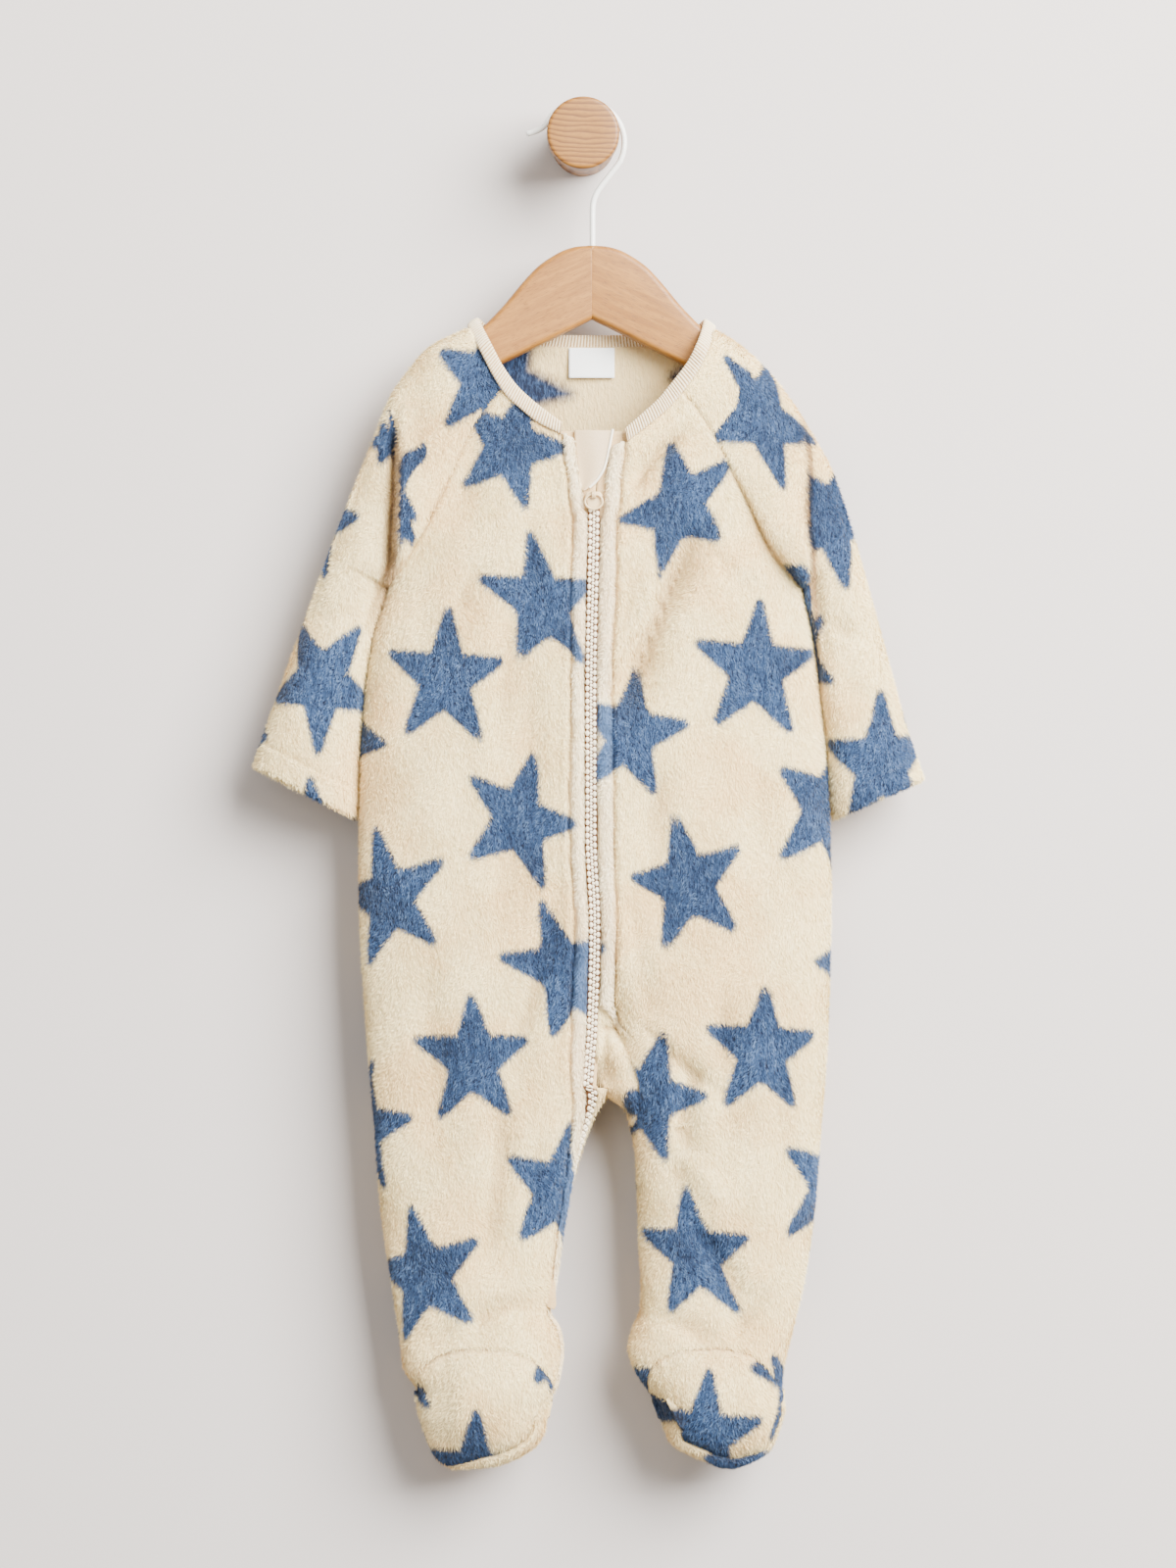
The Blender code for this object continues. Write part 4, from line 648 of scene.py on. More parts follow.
def pastFold(side, x, z):
    # How far past the sleeve's fold a point lies; below 0 on the cap.
    fold = Track([(up, across) for across, up, _ in sleeves[side]["fold"]])
    return (x - fold(z)) * outward[side]


def buildCloth(name, grids, kinds, flips, seams=None):
    # A panel of cloth and its pile; seams holds each grid's stitched line and turned-in edge, as shares.
    seams = seams or [(0 * grid[..., 0], 0 * grid[..., 0]) for grid in grids]
    fields = [starField(grid, stars[kinds]) for grid in grids]
    if len(grids) == 4:  # the back's flap at the crotch shows the end of one star
        fields[3] = np.hypot(grids[3][..., 0] - 28, (grids[3][..., 2] + 533) * 0.8) - 6.5
    # how deep each point lies in a crease; the colours darken with it as painted shade
    hollows = [cavity(grid) for grid in grids]
    if kinds.startswith("sleeve"):
        # The cap laps over the arm at a fold, so each side of the fold shows its own stars.
        side, grid, field = kinds[6:].lower(), grids[0], fields[0]
        z, off = grid[..., 2], pastFold(side, grid[..., 0], grid[..., 2])
        cap = starField(grid, stars["cap" + kinds[6:]])
        front = np.arange(grid.shape[1])[None] <= arm["half"]
        field = np.where((z < -172) & front, np.where((off < 0) & (z > -268), cap, field),
                         np.minimum(cap, field))
        soft = bell(off + 1, 4.5) * front * ease(-z, 150, 172)
        fields[0] = field + soft * (blurred(np.clip(field, -2, 2), 0, 2) - field)
        # painted shade in the fold under the cap: the hollow there is made deeper than the cloth's own
        deep = 9.0 * bell(off - 1.5, sleeves[side]["shade"])
        hollows[0] = hollows[0] + deep * window(-z, (150, 176), (252, 300)) * front
    # the soles take only a little of the painted crease shade
    if kinds.startswith("sole"):
        hollows = [np.minimum(hollow, 0.7) for hollow in hollows]
    if kinds == "back":
        # the back's inner side lies in shade within the neck
        for k, grid in enumerate(grids[:3]):
            within = ease(grid[..., 2], -186, -150) * (1 - ease(np.abs(grid[..., 0] - 5), 52, 66))
            hollows[k] = hollows[k] + 1.7 * within
            fields[k] = fields[k] * (1 - 0.7 * within)  # the print is softer on the inner side
    stitched, turned = zip(*seams)
    layers = {"star": fields, "hollow": hollows, "seam": stitched, "turned": turned}
    ob = fillMesh(name, *joinGrids(grids, flips), {
        key: np.concatenate([values.ravel() for values in layer]) for key, layer in layers.items()})
    weld(ob)
    addWall(ob, fleece["wall"])
    fur = growPile(name.replace("fleece", "pile"), grids, fields, hollows, flips, seams)
    return ob, fur


def blurred(values, across, down):
    for axis, reach in ((1, across), (0, down)):
        pad = [(0, 0), (0, 0)]
        pad[axis] = (reach, reach)
        wide = np.pad(values, pad, mode="reflect", reflect_type="odd")
        total = sum(np.take(wide, np.arange(k, k + values.shape[axis]), axis=axis)
                    for k in range(2 * reach + 1))
        values = total / (2 * reach + 1)
    return values


def cavity(grid):
    # How far each point lies below its surroundings, in mm; ridges are below 0.
    y = grid[..., 1]
    facing = np.sign(hangY - y)
    slope = np.hypot(np.gradient(y, axis=1), 0.01) / (np.hypot(*np.gradient(grid[..., 0])) + 0.4)
    return (y - blurred(y, 3, 3)) * facing / (1 + 3 * slope**2)


fur = {"perSquare": 2.05, "length": (1.8, 3.1), "width": 0.6, "lift": 0.42, "most": 146000}


def growPile(name, grids, fields, hollows, flips, seams):
    # Short blades of pile that lie down the cloth, one triangle each, in the cloth's own colours.
    parts = []
    for grid, field, hollow, flip, pair in zip(grids, fields, hollows, flips, seams):
        a, b, c, d = grid[:-1, :-1], grid[1:, :-1], grid[1:, 1:], grid[:-1, 1:]
        normal = np.cross(b - a, d - a) + np.cross(d - c, b - c)
        area = np.linalg.norm(normal, axis=-1) / 2
        normal = normal / (2 * area[..., None] + 1e-9) * (-1 if flip else 1)
        parts.append((grid, field, hollow, normal, area, pair))
    total = sum(part[4].sum() for part in parts)
    count = min(int(total * fur["perSquare"]), fur["most"])
    made = []
    for grid, field, hollow, normal, area, (stitched, turned) in parts:
        share = area.ravel() / area.sum()
        picks = rng.choice(len(share), int(count * area.sum() / total), p=share)
        i, j = np.unravel_index(picks, area.shape)
        u, v = rng.random((2, len(picks)))

        def blend(values):
            weight = (u, v) if values.ndim == 2 else (u[:, None], v[:, None])
            top = values[i, j] * (1 - weight[0]) + values[i, j + 1] * weight[0]
            low = values[i + 1, j] * (1 - weight[0]) + values[i + 1, j + 1] * weight[0]
            return top * (1 - weight[1]) + low * weight[1]

        root, out = blend(grid), normal[i, j]
        gravity = np.array([0, 0, -1.0]) - out * -out[:, 2:3]
        gravity /= np.linalg.norm(gravity, axis=1, keepdims=True) + 1e-6
        side = np.cross(out, gravity)
        x, z = root[:, 0], root[:, 2]
        sway = (0.45 * np.sin(x * 0.13 + z * 0.05 + 1.9 * np.sin(z * 0.031)) +
                0.4 * np.sin(z * 0.11 - x * 0.09) + rng.normal(0, 0.38, len(x)))[:, None]
        lie = np.cos(sway) * gravity + np.sin(sway) * side
        cross = -np.sin(sway) * gravity + np.cos(sway) * side
        twist = rng.normal(0, 0.55, len(x))[:, None]
        cross = np.cos(twist) * cross + np.sin(twist) * out
        long = rng.uniform(*fur["length"], len(x))[:, None]
        caught = blend(stitched)[:, None]
        long = long * (1 - 0.75 * caught)
        lift = fur["lift"] + rng.normal(0, 0.16, len(x))[:, None]
        tip = root + long * (lie * np.sqrt(np.clip(1 - lift**2, 0.1, 1)) + out * lift)
        foot = root - out * 0.25
        wide = cross * fur["width"] / 2
        made.append((np.stack([foot - wide, foot + wide, tip], 1),
                     blend(field) + rng.normal(0, 0.55, len(x)), blend(hollow),
                     rng.random(len(x)), blend(stitched), blend(turned)))
    points = np.concatenate([m[0] for m in made]).reshape(-1, 3)
    perBlade = {"star": 1, "hollow": 2, "tone": 3, "seam": 4, "turned": 5}
    attributes = {key: np.repeat(np.concatenate([m[k] for m in made]), 3)
                  for key, k in perBlade.items()}
    count = len(points) // 3
    attributes["tip"] = np.tile([0.0, 0.0, 1.0], count)
    # each blade has a cell of its own on the map
    cells = math.ceil(math.sqrt(count))
    corners = np.array([(0.14, 0.14), (0.86, 0.14), (0.5, 0.86)])
    cell = np.stack([np.arange(count) % cells, np.arange(count) // cells], -1)
    uv = (cell[:, None] + corners) / cells
    return fillMesh(name, points, np.arange(len(points)).reshape(-1, 3), attributes, uv)


def zipAt(z, across, inset):
    # Points at distances across the zip and into the cloth, at one height.
    x, y, run, centre = zipFrame(z)
    made = []
    for place, deep in zip(across, inset):
        at = centre + place
        dx = np.interp(at + 1.5, run, x) - np.interp(at - 1.5, run, x)
        dy = np.interp(at + 1.5, run, y) - np.interp(at - 1.5, run, y)
        size = math.hypot(dx, dy)
        px, py = np.interp(at, run, x), np.interp(at, run, y)
        made.append((px - dy / size * deep, py + dx / size * deep, z))
    return made


flap = {"heights": (-474, -546, 40), "columns": 22, "arch": 13, "bulge": 3.6, "fold": 2.4}


def crotchFlap():
    # The back's edge that shows between the zip and the left front, gathered at the crotch.
    rows = []
    t = np.linspace(0, 1, flap["columns"])
    for z in np.linspace(*flap["heights"]):
        edge = frontPoint("left", np.array([[z]]), np.array([[1.0]]))[0, 0]
        edge = edge + (3.2, 2.6, 0)
        if z > crotchZ:
            near = np.array(zipAt(z, [zipHalf - 0.4], [2.6])[0])
        else:
            # below the zip the gap between the legs opens in an arch
            part = min((crotchZ - z) / flap["arch"], 1.0) ** 0.8
            near = np.array([6 + (float(innerX("left", z)) - 5.7) * part, hangY - 2.0, z])
        turned = float(ease(-z, 505, -crotchZ))
        if z > crotchZ:
            near[1] += (hangY - 2.0 - near[1]) * turned
        low = float(ease(-z, 512, 530))
        line = near + (edge - near) * t[:, None]
        bulge = flap["bulge"] * (ease(-z, 486, 505) + low) * np.sin(t * math.pi) ** 0.8
        fold = flap["fold"] * bell(t - 0.36 - 0.1 * np.sin(z * 0.09), 0.13)
        line[:, 1] -= bulge - fold * ease(-z, 484, 500) * (1 - low)
        rows.append(line)
    return np.array(rows)


def buildFront(side, flip):
    grid, stitched, turned = frontGrid(side)
    return buildCloth("fleece_front_" + side, [grid], "front" + side.capitalize(), [flip],
                      [(stitched, turned)])


frontRight, pileFrontRight = buildFront("right", False)
frontLeft, pileFrontLeft = buildFront("left", True)
backPanel, pileBack = buildCloth("fleece_back", backGrids() + [crotchFlap()], "back", [False] * 4)
print("fronts and back built")

sleeves = {
    "right": {
        "shoulder": [(-62.5, -105.8), (-72, -110), (-84.5, -116.5), (-96, -129.5),
                     (-106, -143.5), (-115, -166), (-127, -196), (-140.9, -232.2)],
        "arm": [(-140.9, -232.2), (-153, -265.5), (-164.9, -298.6), (-174, -323.4),
                (-182.3, -347)],
        "cuffInner": (-125.0, -376.0),
        "neck": [(-62.5, -105.8), (-56.5, -119), (-46, -141)],
        # the fold where the cap lies over the arm: across, up, depth
        "fold": [(-101, -146, 0.6), (-102.4, -155.5, 2.5), (-101.2, -180, 9), (-101.8, -205, 12),
                 (-102.8, -228, 13), (-106, -250, 12), (-111, -275, 9)], "lap": 4.2, "shade": 4.2},
    "left": {
        "shoulder": [(72, -106.6), (84.8, -114.5), (99.9, -128), (111, -141), (119, -153),
                     (129.5, -170), (138.5, -187.5), (150.8, -226)],
        "arm": [(150.8, -226), (157.8, -251), (165, -277), (178.4, -325.6), (188.2, -354)],
        "cuffInner": (138.2, -376.0),
        "neck": [(72, -106.6), (68.4, -119), (63, -131.1), (54.4, -141)],
        "fold": [(119.5, -150, 0.4), (121.5, -165, 1.6), (123.4, -185, 5.5), (122.8, -209, 8),
                 (124.8, -231, 9), (125.4, -250, 9), (128, -275, 6)], "lap": 2.6, "shade": 1.9}}
arm = {"front": 18.0, "back": 15.0, "setBack": 5.0, "half": 36, "yokeRows": 54, "armRows": 56,
       "hem": 13.0, "hemRoll": 3.4}
armCreases = {
    "right": [(-150, -240, -142, -330, 9, 1.6), (-128, -262, -133, -330, 6, 1.4),
              (-134, -262, -160, -276, 5, 1.6), (-126, -300, -150, -318, 6, 1.4),
              (-92, -128, -96, -190, 9, 1.5), (-120, -200, -138, -236, 7, 1.3)],
    "left": [(160, -262, 170, -340, 8, 1.6), (140, -262, 150, -330, 7, 1.4),
             (134, -268, 158, -280, 5, 1.6), (148, -306, 174, -322, 6, 1.4),
             (104, -126, 112, -186, 9, 1.4), (128, -196, 142, -236, 7, 1.3)]}


def sleeveGrid(side):
    sign = outward[side]
    plan = sleeves[side]
    shoulder, arms, neck = Path(plan["shoulder"]), Path(plan["arm"]), Path(plan["neck"])
    foldDeep = Track([(z, deep) for _, z, deep in plan["fold"]])
    turn = np.linspace(0, 1, arm["half"] + 1)
    level = (1 - np.cos(turn * math.pi)) / 2
    rows = []

    def dips(flat, way):
        x, z = flat[:, 0], flat[:, 1]
        return creaseDepth(armCreases[side], x, z, 1, 1.1, 1, 0) + 0.8 * ripple(x, z, 3 + way)

    def halfRing(flat, plane, way, swell):
        half = np.stack([flat[:, 0], plane + way * swell, flat[:, 1]], -1)
        return half[::-1] if way < 0 else half[1:]

    def lapped(flat, swell):
        # The cap laps over the arm: a deep trough on the arm's side, an overhang on the cap's.
        off = -pastFold(side, flat[:, 0], flat[:, 1])
        away = ease(np.hypot(*(flat - flat[-1]).T), 0, 7)
        height = np.maximum(flat[:, 1], plan["fold"][-1][1])
        reach = window(-flat[:, 1], (142, 152), (258, 300)) * away
        sharp = np.where(off > 0, bell(off, 2.4), 0.6 * bell(off, 4.6) + 0.4 * bell(off, 14))
        swell = swell - foldDeep(height) * sharp * reach
        behind = 5.0 * ease(-off, 0, 6) * window(-flat[:, 1], (160, 200), (240, 320)) * away
        swell = np.maximum(swell - behind * ease(swell, 2, 10), 1.0)
        lap = window(-flat[:, 1], (146, 176), (246, 275)) * away
        flat[:, 0] += sign * plan["lap"] * bell(off - 1.8, 2.8) * lap
        return swell

    shares = np.linspace(0, 1, arm["yokeRows"] + 1)[:-1]
    frontSeam = Path(raglanFront[side])(shares) + (sign * fleece["gap"], 0)
    backSeam = Path(raglanBack[side])(shares) + (sign * fleece["gap"], 0)
    for v, front, back in zip(shares, frontSeam, backSeam):
        closing = float(ease(v, 0.2, 1.0))
        outer = shoulder(v)
        w = (1 - closing) * (1 - np.cos(turn * math.pi / 2)) + closing * level
        line = []
        for seam, deep, way in ((front, arm["front"], -1), (back, arm["back"], 1)):
            edge = abs(clothAt(way, *seam) - hangY) + 0.15
            flat = outer + (seam - outer) * w[:, None]
            if way < 0:
                straight = shoulder(0.0) + (frontSeam[0] - shoulder(0.0)) * w[:, None]
                flat = flat + (neck(w) - straight) * float(1 - ease(v, 0, 0.34))
            swell = edge * section(1 - w, 2.6) * (1 - closing) + closing * (
                edge * w * w + deep * section(2 * w - 1))
            swell = swell - dips(flat, way) * np.minimum(1, section(2 * w - 1)) * ease(swell, 0, 8)
            if way < 0:
                swell = lapped(flat, swell)
            line.append(halfRing(flat, hangY, way, swell))
        line = np.concatenate(line)
        for end in (line[0].copy(), line[-1].copy()):
            near = np.hypot(line[:, 0] - end[0], line[:, 2] - end[2])
            line[:, 1] += np.sign(hangY - end[1]) * fleece["tuck"] * (1 - ease(near, 0, 2.4)) * (
                np.sign(line[:, 1] - hangY) == np.sign(end[1] - hangY))
        rows.append(line)
    innerTop = np.array([float(sideTrack[side](underarmZ)) + sign * 0.9, underarmZ + 0.6])
    cuffInner = np.array(plan["cuffInner"])
    hemShare = arm["hem"] / arms.length
    steps = [(v, 0.0) for v in np.linspace(0, 1, arm["armRows"])]
    steps += [(1 + 0.012 * math.sin(a), arm["hemRoll"] * (1 - math.cos(a)) / 2)
              for a in np.linspace(0, math.pi, 7)[1:]]
    steps += [(1 - hemShare * v, arm["hemRoll"]) for v in np.linspace(0.1, 1, 10)]
    for v, inside in steps:
        past = max(v - 1, 0)
        outer = arms(min(v, 1)) + (arms(1.0) - arms(0.97)) / 0.03 * past
        inner = innerTop + (cuffInner - innerTop) * v
        inner[0] = max(abs(inner[0]), abs(float(sideTrack[side](inner[1]))) + 0.9) * sign
        plane = hangY + arm["setBack"] * v
        w = 0.5 + (level - 0.5) * (1 - inside / (np.linalg.norm(outer - inner) / 2))
        line = []
        for deep, way in ((arm["front"], -1), (arm["back"], 1)):
            flat = outer + (inner - outer) * w[:, None]
            roundness = section(2 * (w - w[0]) / (w[-1] - w[0]) - 1)
            swell = (deep - inside) * roundness
            if inside == 0:
                toHem = (1 - v) * arms.length
                stitched = bell(toHem - arm["hem"], 1.3)
                band = float(ease(arm["hem"] - toHem, 0, 2.5))
                pucker = 0.35 * np.sin(flat[:, 0] * 0.9 + 1.3 * np.sin(flat[:, 0] * 0.37))
                dip = dips(flat, way) + (0.9 + pucker) * stitched - 0.7 * band
                swell = swell - dip * np.minimum(1, roundness)
            if inside == 0 and way < 0:
                swell = lapped(flat, swell) * np.minimum(1, 3 * roundness)
            line.append(halfRing(flat, plane, way, np.maximum(swell, 0)))
        rows.append(np.concatenate(line))
    return np.array(rows)


def buildSleeve(side, flip):
    return buildCloth("fleece_sleeve_" + side, [sleeveGrid(side)], "sleeve" + side.capitalize(), [flip])


sleeveRight, pileSleeveRight = buildSleeve("right", True)
sleeveLeft, pileSleeveLeft = buildSleeve("left", False)
print("sleeves built")

foot = {"columns": 60, "rows": 30, "rim": 7.2}


def footOutline(side):
    heights = np.linspace(notchZ, toeZ, 40)
    down = [(float(sideTrack[side](z)), z) for z in heights]
    up = [(float(innerX(side, z)), z) for z in heights[::-1]]
    return Path(down + up[1:])


def rimWidth(side, share):
    # How wide the sole shows round the toe, by the share of the foot's outline.
    if side == "right":
        return foot["rim"] * ease(share, 0.3, 0.55) * (1 - 0.75 * ease(share, 0.9, 1.0))
    inner = 8.5 * window(share, (0.72, 0.87), (0.965, 1.0))
    return foot["rim"] * (0.25 + 0.75 * ease(share, 0.2, 0.5)) * ease(share, 0.0, 0.05) + inner


def toeSeam(side, share, shift):
    edge = footOutline(side)(share)
    middle = np.array([(float(sideTrack[side](notchZ)) + float(innerX(side, notchZ))) / 2,
                       notchZ - 12])
    way = middle - edge
    way = way / np.linalg.norm(way, axis=-1, keepdims=True)
    return edge + way * (rimWidth(side, share) + shift)[:, None]


def vampGrid(side):
    j = np.linspace(0, 1, foot["columns"])
    along = 0.02 + 0.96 * j
    topZ = footSeamZ(-np.cos(j * math.pi)) - fleece["gap"]
    topX = aroundLeg(side, topZ, j * math.pi)
    low = toeSeam(side, along, 0.5 + 0 * j)
    top = np.stack([topX, topZ], -1)
    v = np.linspace(0, 1, foot["rows"])[:, None, None]
    flat = top[None] + (low - top)[None] * v
    x, z = flat[..., 0], flat[..., 1]
    y = clothY(-1, x, z)
    held = ease(rimWidth(side, along), 0, 4)
    tuck = 2.3 * bell(v[..., 0], 0.05) + (0.2 + 1.6 * held) * bell(1 - v[..., 0], 0.05)
    puff = 3.2 * np.sin(np.clip(v[..., 0] * 0.86 + 0.14, 0, 1) * math.pi) ** 0.7 * held
    tuck = tuck - puff * np.sin(j * math.pi) ** 0.6
    pucker = np.sin(j * 61 + 2 * np.sin(j * 17)) * bell(v[..., 0], 0.12) * 0.5
    return np.stack([x, y + tuck + pucker, z], -1)


def soleGrid(side):
    j = np.linspace(0, 1, foot["columns"])
    along = 0.02 + 0.96 * j
    heelZ = heelSeamZ(-np.cos(j * math.pi)) - fleece["gap"]
    heel = np.stack([aroundLeg(side, heelZ, j * math.pi), heelZ], -1)
    edge = footOutline(side)(along)
    low = toeSeam(side, along, -0.2 + 0 * j)
    held = ease(rimWidth(side, along), 0, 4)
    rows = []
    for v in np.linspace(0, 0.98, foot["rows"]):
        rows.append(onCloth(1, *(heel + (edge - heel) * v).T) + (0, 0.5 * v, 0))
    rows.append(np.stack([edge[:, 0], np.full(len(j), hangY), edge[:, 1]], -1))
    for v in np.linspace(0, 1, 10)[1:]:
        x, z = (edge + (low - edge) * v).T
        y = np.minimum(clothY(-1, x, z), hangY - 0.1) - 2.0 * held * math.sin(math.pi * v)
        y = y + 1.8 * held * float(ease(v, 0.75, 1.0))
        rows.append(np.stack([x, y, z], -1))
    return np.array(rows)


vamps, soles, footPile = {}, {}, {}
for side, flip in (("right", False), ("left", True)):
    kind = side.capitalize()
    grid = vampGrid(side)
    # the seam at the vamp's top is marked like a stitched line: stitching colour and painted shade
    line = 0.75 * bell(np.linspace(0, 1, foot["rows"])[:, None], 0.035) + 0 * grid[..., 0]
    vamps[side], footPile["vamp", side] = buildCloth(
        "fleece_vamp_" + side, [grid], "vamp" + kind, [flip], [(line, 0 * line)])
    soles[side], footPile["sole", side] = buildCloth(
        "fleece_sole_" + side, [soleGrid(side)], "sole" + kind, [not flip])
print("feet built")

# The zip: tapes, interlocked teeth, slider with its bridge, pull ring, satin guard.
zipper = {"chainWidth": 6.8, "pitch": 3.5, "toothInset": 0.7, "tapeInset": 3.2, "tapeWidth": 9,
          "tapeThick": 0.8, "coreThick": 1.0, "top": -164.0, "sliderZ": -202.3, "end": -640.0,
          "tail": [(-20.6, -630), (-15.4, -632), (-14.8, -645.5), (-15.9, -648), (-20, -646.4)]}


def tapeSpan(side, z):
    # Where a tape starts and ends beside the zip's centre.
    wide = zipper["tapeWidth"]
    if z > closedZ:
        right = float(openingTrack["right"](z) - zipTrack(z))
        left = float(openingTrack["left"](z) - zipTrack(z))
        reach = right + 3.4 + max(0.0, left - right - 8.7) * float(ease(-z, 182, 190))
        if side == "right":
            return right - wide, reach
        return max(left - 5, reach + 0.3), left + wide
    if side == "right":
        return -zipHalf - wide, -0.15
    narrow = float(window(-z, (490, 515), (560, 585)))  # the left one narrows past the crotch
    return 0.15, zipHalf + wide - 6 * narrow


tapes = {}
for side in ("right", "left"):
    rows = []
    for z in np.arange(zipper["top"], zipper["end"] - 3, -2.4):
        low, high = tapeSpan(side, z)
        rows.append(zipAt(z, np.linspace(low, high, 10), [zipper["tapeInset"]] * 10))
    tapes[side] = walled("zip_tape_" + side + "_woven", np.array(rows), zipper["tapeThick"])


def ball(rings, segments):
    # Unit ball as points and four-sided faces.
    lat = np.linspace(0.12, math.pi - 0.12, rings)
    lon = np.linspace(0, 2 * math.pi, segments + 1)[:-1]
    grid = np.stack([np.sin(lat)[:, None] * np.cos(lon), np.sin(lat)[:, None] * np.sin(lon),
                     np.cos(lat)[:, None] + 0 * lon], -1)
    return grid.reshape(-1, 3), gridFaces(rings, segments, loop=True)


def manyOf(name, shape, places, axes, sizes):
    # Copies of one small shape: places (n, 3), axes (n, 3, 3) as rows, sizes (n, 3).
    points, faces = shape
    count = len(places)
    copies = np.einsum("pk,nk,nkj->npj", points, sizes, axes) + np.asarray(places)[:, None]
    allFaces = (faces[None] + (np.arange(count) * len(points))[:, None, None]).reshape(-1, 4)
    return fillMesh(name, copies.reshape(-1, 3), allFaces)


def zipAxes(z, across):
    a, b = zipAt(z, [across - 1, across + 1], [0, 0])
    c, d = zipAt(z + 1, [across], [0])[0], zipAt(z - 1, [across], [0])[0]
    side = np.subtract(b, a)
    up = np.subtract(c, d)
    side, up = side / np.linalg.norm(side), up / np.linalg.norm(up)
    out = np.cross(side, up)
    return np.array([side, out / np.linalg.norm(out), up])


chainTop = zipper["sliderZ"] - 4.6
places, axes, sizes = [], [], []
half = zipper["chainWidth"] / 2
for k, z in enumerate(np.arange(chainTop - 0.8, zipper["end"] + 1, -zipper["pitch"] / 2)):
    frame3 = zipAxes(z, 0)
    sign = -1 if k % 2 else 1
    for across, size in ((-1.95 * sign, (1.12, 0.78, 1.52)), (-0.12 * sign, (0.92, 0.66, 0.84))):
        places.append(zipAt(z, [across], [zipper["toothInset"]])[0])
        axes.append(frame3)
        sizes.append(size)
zipTeeth = manyOf("zip_chain_teeth", ball(6, 9), places, np.array(axes), np.array(sizes))
# a dark sheet behind the teeth: painted shade in the gaps between them
rows = []
for z in np.arange(chainTop, zipper["end"], -2.0):
    rows.append(zipAt(z, np.linspace(-half, half, 7), 0.95 + 0.4 * np.linspace(-1, 1, 7) ** 2))
zipShadeCore = walled("zip_chain_shade_core", np.array(rows), zipper["coreThick"])
print("zip built")


def rounded(name, outline, near, far, bevel, segments=3):
    # A flat outline (across, up) given thickness between two depths, its edges rounded.
    bm = bmesh.new()
    loops = [[bm.verts.new((a * mm, y * mm, b * mm)) for a, b in outline]
             for y in (near, far)]
    bm.faces.new(loops[0])
    bm.faces.new(loops[1][::-1])
    for i in range(len(outline)):
        j = (i + 1) % len(outline)
        bm.faces.new((loops[0][j], loops[0][i], loops[1][i], loops[1][j]))
    bmesh.ops.recalc_face_normals(bm, faces=bm.faces)
    rims = [e for e in bm.edges if abs(e.verts[0].co.y - e.verts[1].co.y) < 1e-9]
    bmesh.ops.bevel(bm, geom=rims, offset=bevel * mm, segments=segments, profile=0.5,
                    affect="EDGES", clamp_overlap=True)
    mesh = bpy.data.meshes.new(name)
    bm.to_mesh(mesh)
    bm.free()
    return addObject(name, mesh)


def tube(name, path, radius, closed=False, segments=12):
    # A round wire through points, its ends domed unless they meet.
    path = np.asarray(path, float)
    ahead = np.roll(path, -1, axis=0) - np.roll(path, 1, axis=0)
    if not closed:
        ahead[0], ahead[-1] = path[1] - path[0], path[-1] - path[-2]
    ahead /= np.linalg.norm(ahead, axis=1, keepdims=True)
    side = np.cross(ahead, (0, 1, 0))
    side /= np.linalg.norm(side, axis=1, keepdims=True)
    up = np.cross(side, ahead)
    turn = np.linspace(0, 2 * math.pi, segments + 1)[:-1]
    radii = np.full(len(path), float(radius))
    if not closed:
        caps = np.array([0.05, 0.55, 0.83, 0.97])
        past = radius * np.sqrt(1 - caps**2)[:, None]
        path = np.concatenate([path[0] - ahead[0] * past, path, path[-1] + ahead[-1] * past[::-1]])
        radii = np.concatenate([radius * caps, radii, radius * caps[::-1]])
        side, up = (np.concatenate([way[:1].repeat(4, 0), way, way[-1:].repeat(4, 0)])
                    for way in (side, up))
    across = np.cos(turn)[None, :, None] * side[:, None] + np.sin(turn)[None, :, None] * up[:, None]
    rings = path[:, None] + radii[:, None, None] * across
    faces = gridFaces(len(path), segments, loop=True)
    if closed:
        j = np.arange(segments)
        k = (j + 1) % segments
        last = (len(path) - 1) * segments
        faces = np.concatenate([faces, np.stack([last + j, j, k, last + k], -1)])
    return fillMesh(name, rings.reshape(-1, 3), faces)


def merged(name, parts):
    # Several mesh objects as one.
    mesh = bpy.data.meshes.new(name)
    bm = bmesh.new()
    for part in parts:
        bm.from_mesh(part.data)
        bpy.data.objects.remove(part)
    bm.to_mesh(mesh)
    bm.free()
    return addObject(name, mesh)


zipTail = rounded("zip_tape_tail", zipper["tail"], hangY - 8.4, hangY - 7.4, 0.3)
slider = {"x": 5.9, "front": -58.15, "thick": 3.6, "wide": 9.4, "high": 9.2, "pivotZ": -199.4,
          "shape": [(-0.30, -0.5), (0.30, -0.5), (0.38, -0.3), (0.46, 0.1), (0.5, 0.32), (0.36, 0.5),
                    (-0.36, 0.5), (-0.5, 0.32), (-0.46, 0.1), (-0.38, -0.3)], "edge": 0.7,
          "bridge": (3.0, 4.4, 0.75), "bar": 0.42, "ring": (9.6, 8.2, 0.6)}
outline = [(slider["x"] + a * slider["wide"], zipper["sliderZ"] + b * slider["high"])
           for a, b in slider["shape"]]
sliderBody = rounded("slider_block", outline, slider["front"], slider["front"] + slider["thick"],
                     slider["edge"])
deep, tall, wall = slider["bridge"]
front, pivot = slider["front"], slider["pivotZ"]
arch = [(front + 0.4, pivot - tall / 2 + 0.4), (front - deep + 1.0, pivot - tall / 2 + 0.5),
        (front - deep + wall / 2, pivot - 0.8), (front - deep + wall / 2, pivot + 0.8),
        (front - deep + 1.0, pivot + tall / 2 - 0.5), (front + 0.4, pivot + tall / 2 - 0.4)]
bars = [tube("bar", [(slider["x"] + across, y, z) for y, z in arch], slider["bar"], segments=8)
        for across in (-0.7, 0, 0.7)]
zipSlider = merged("zip_slider_cast", [sliderBody] + bars)
ringWide, ringHigh, ringThick = slider["ring"]
ringPath = []
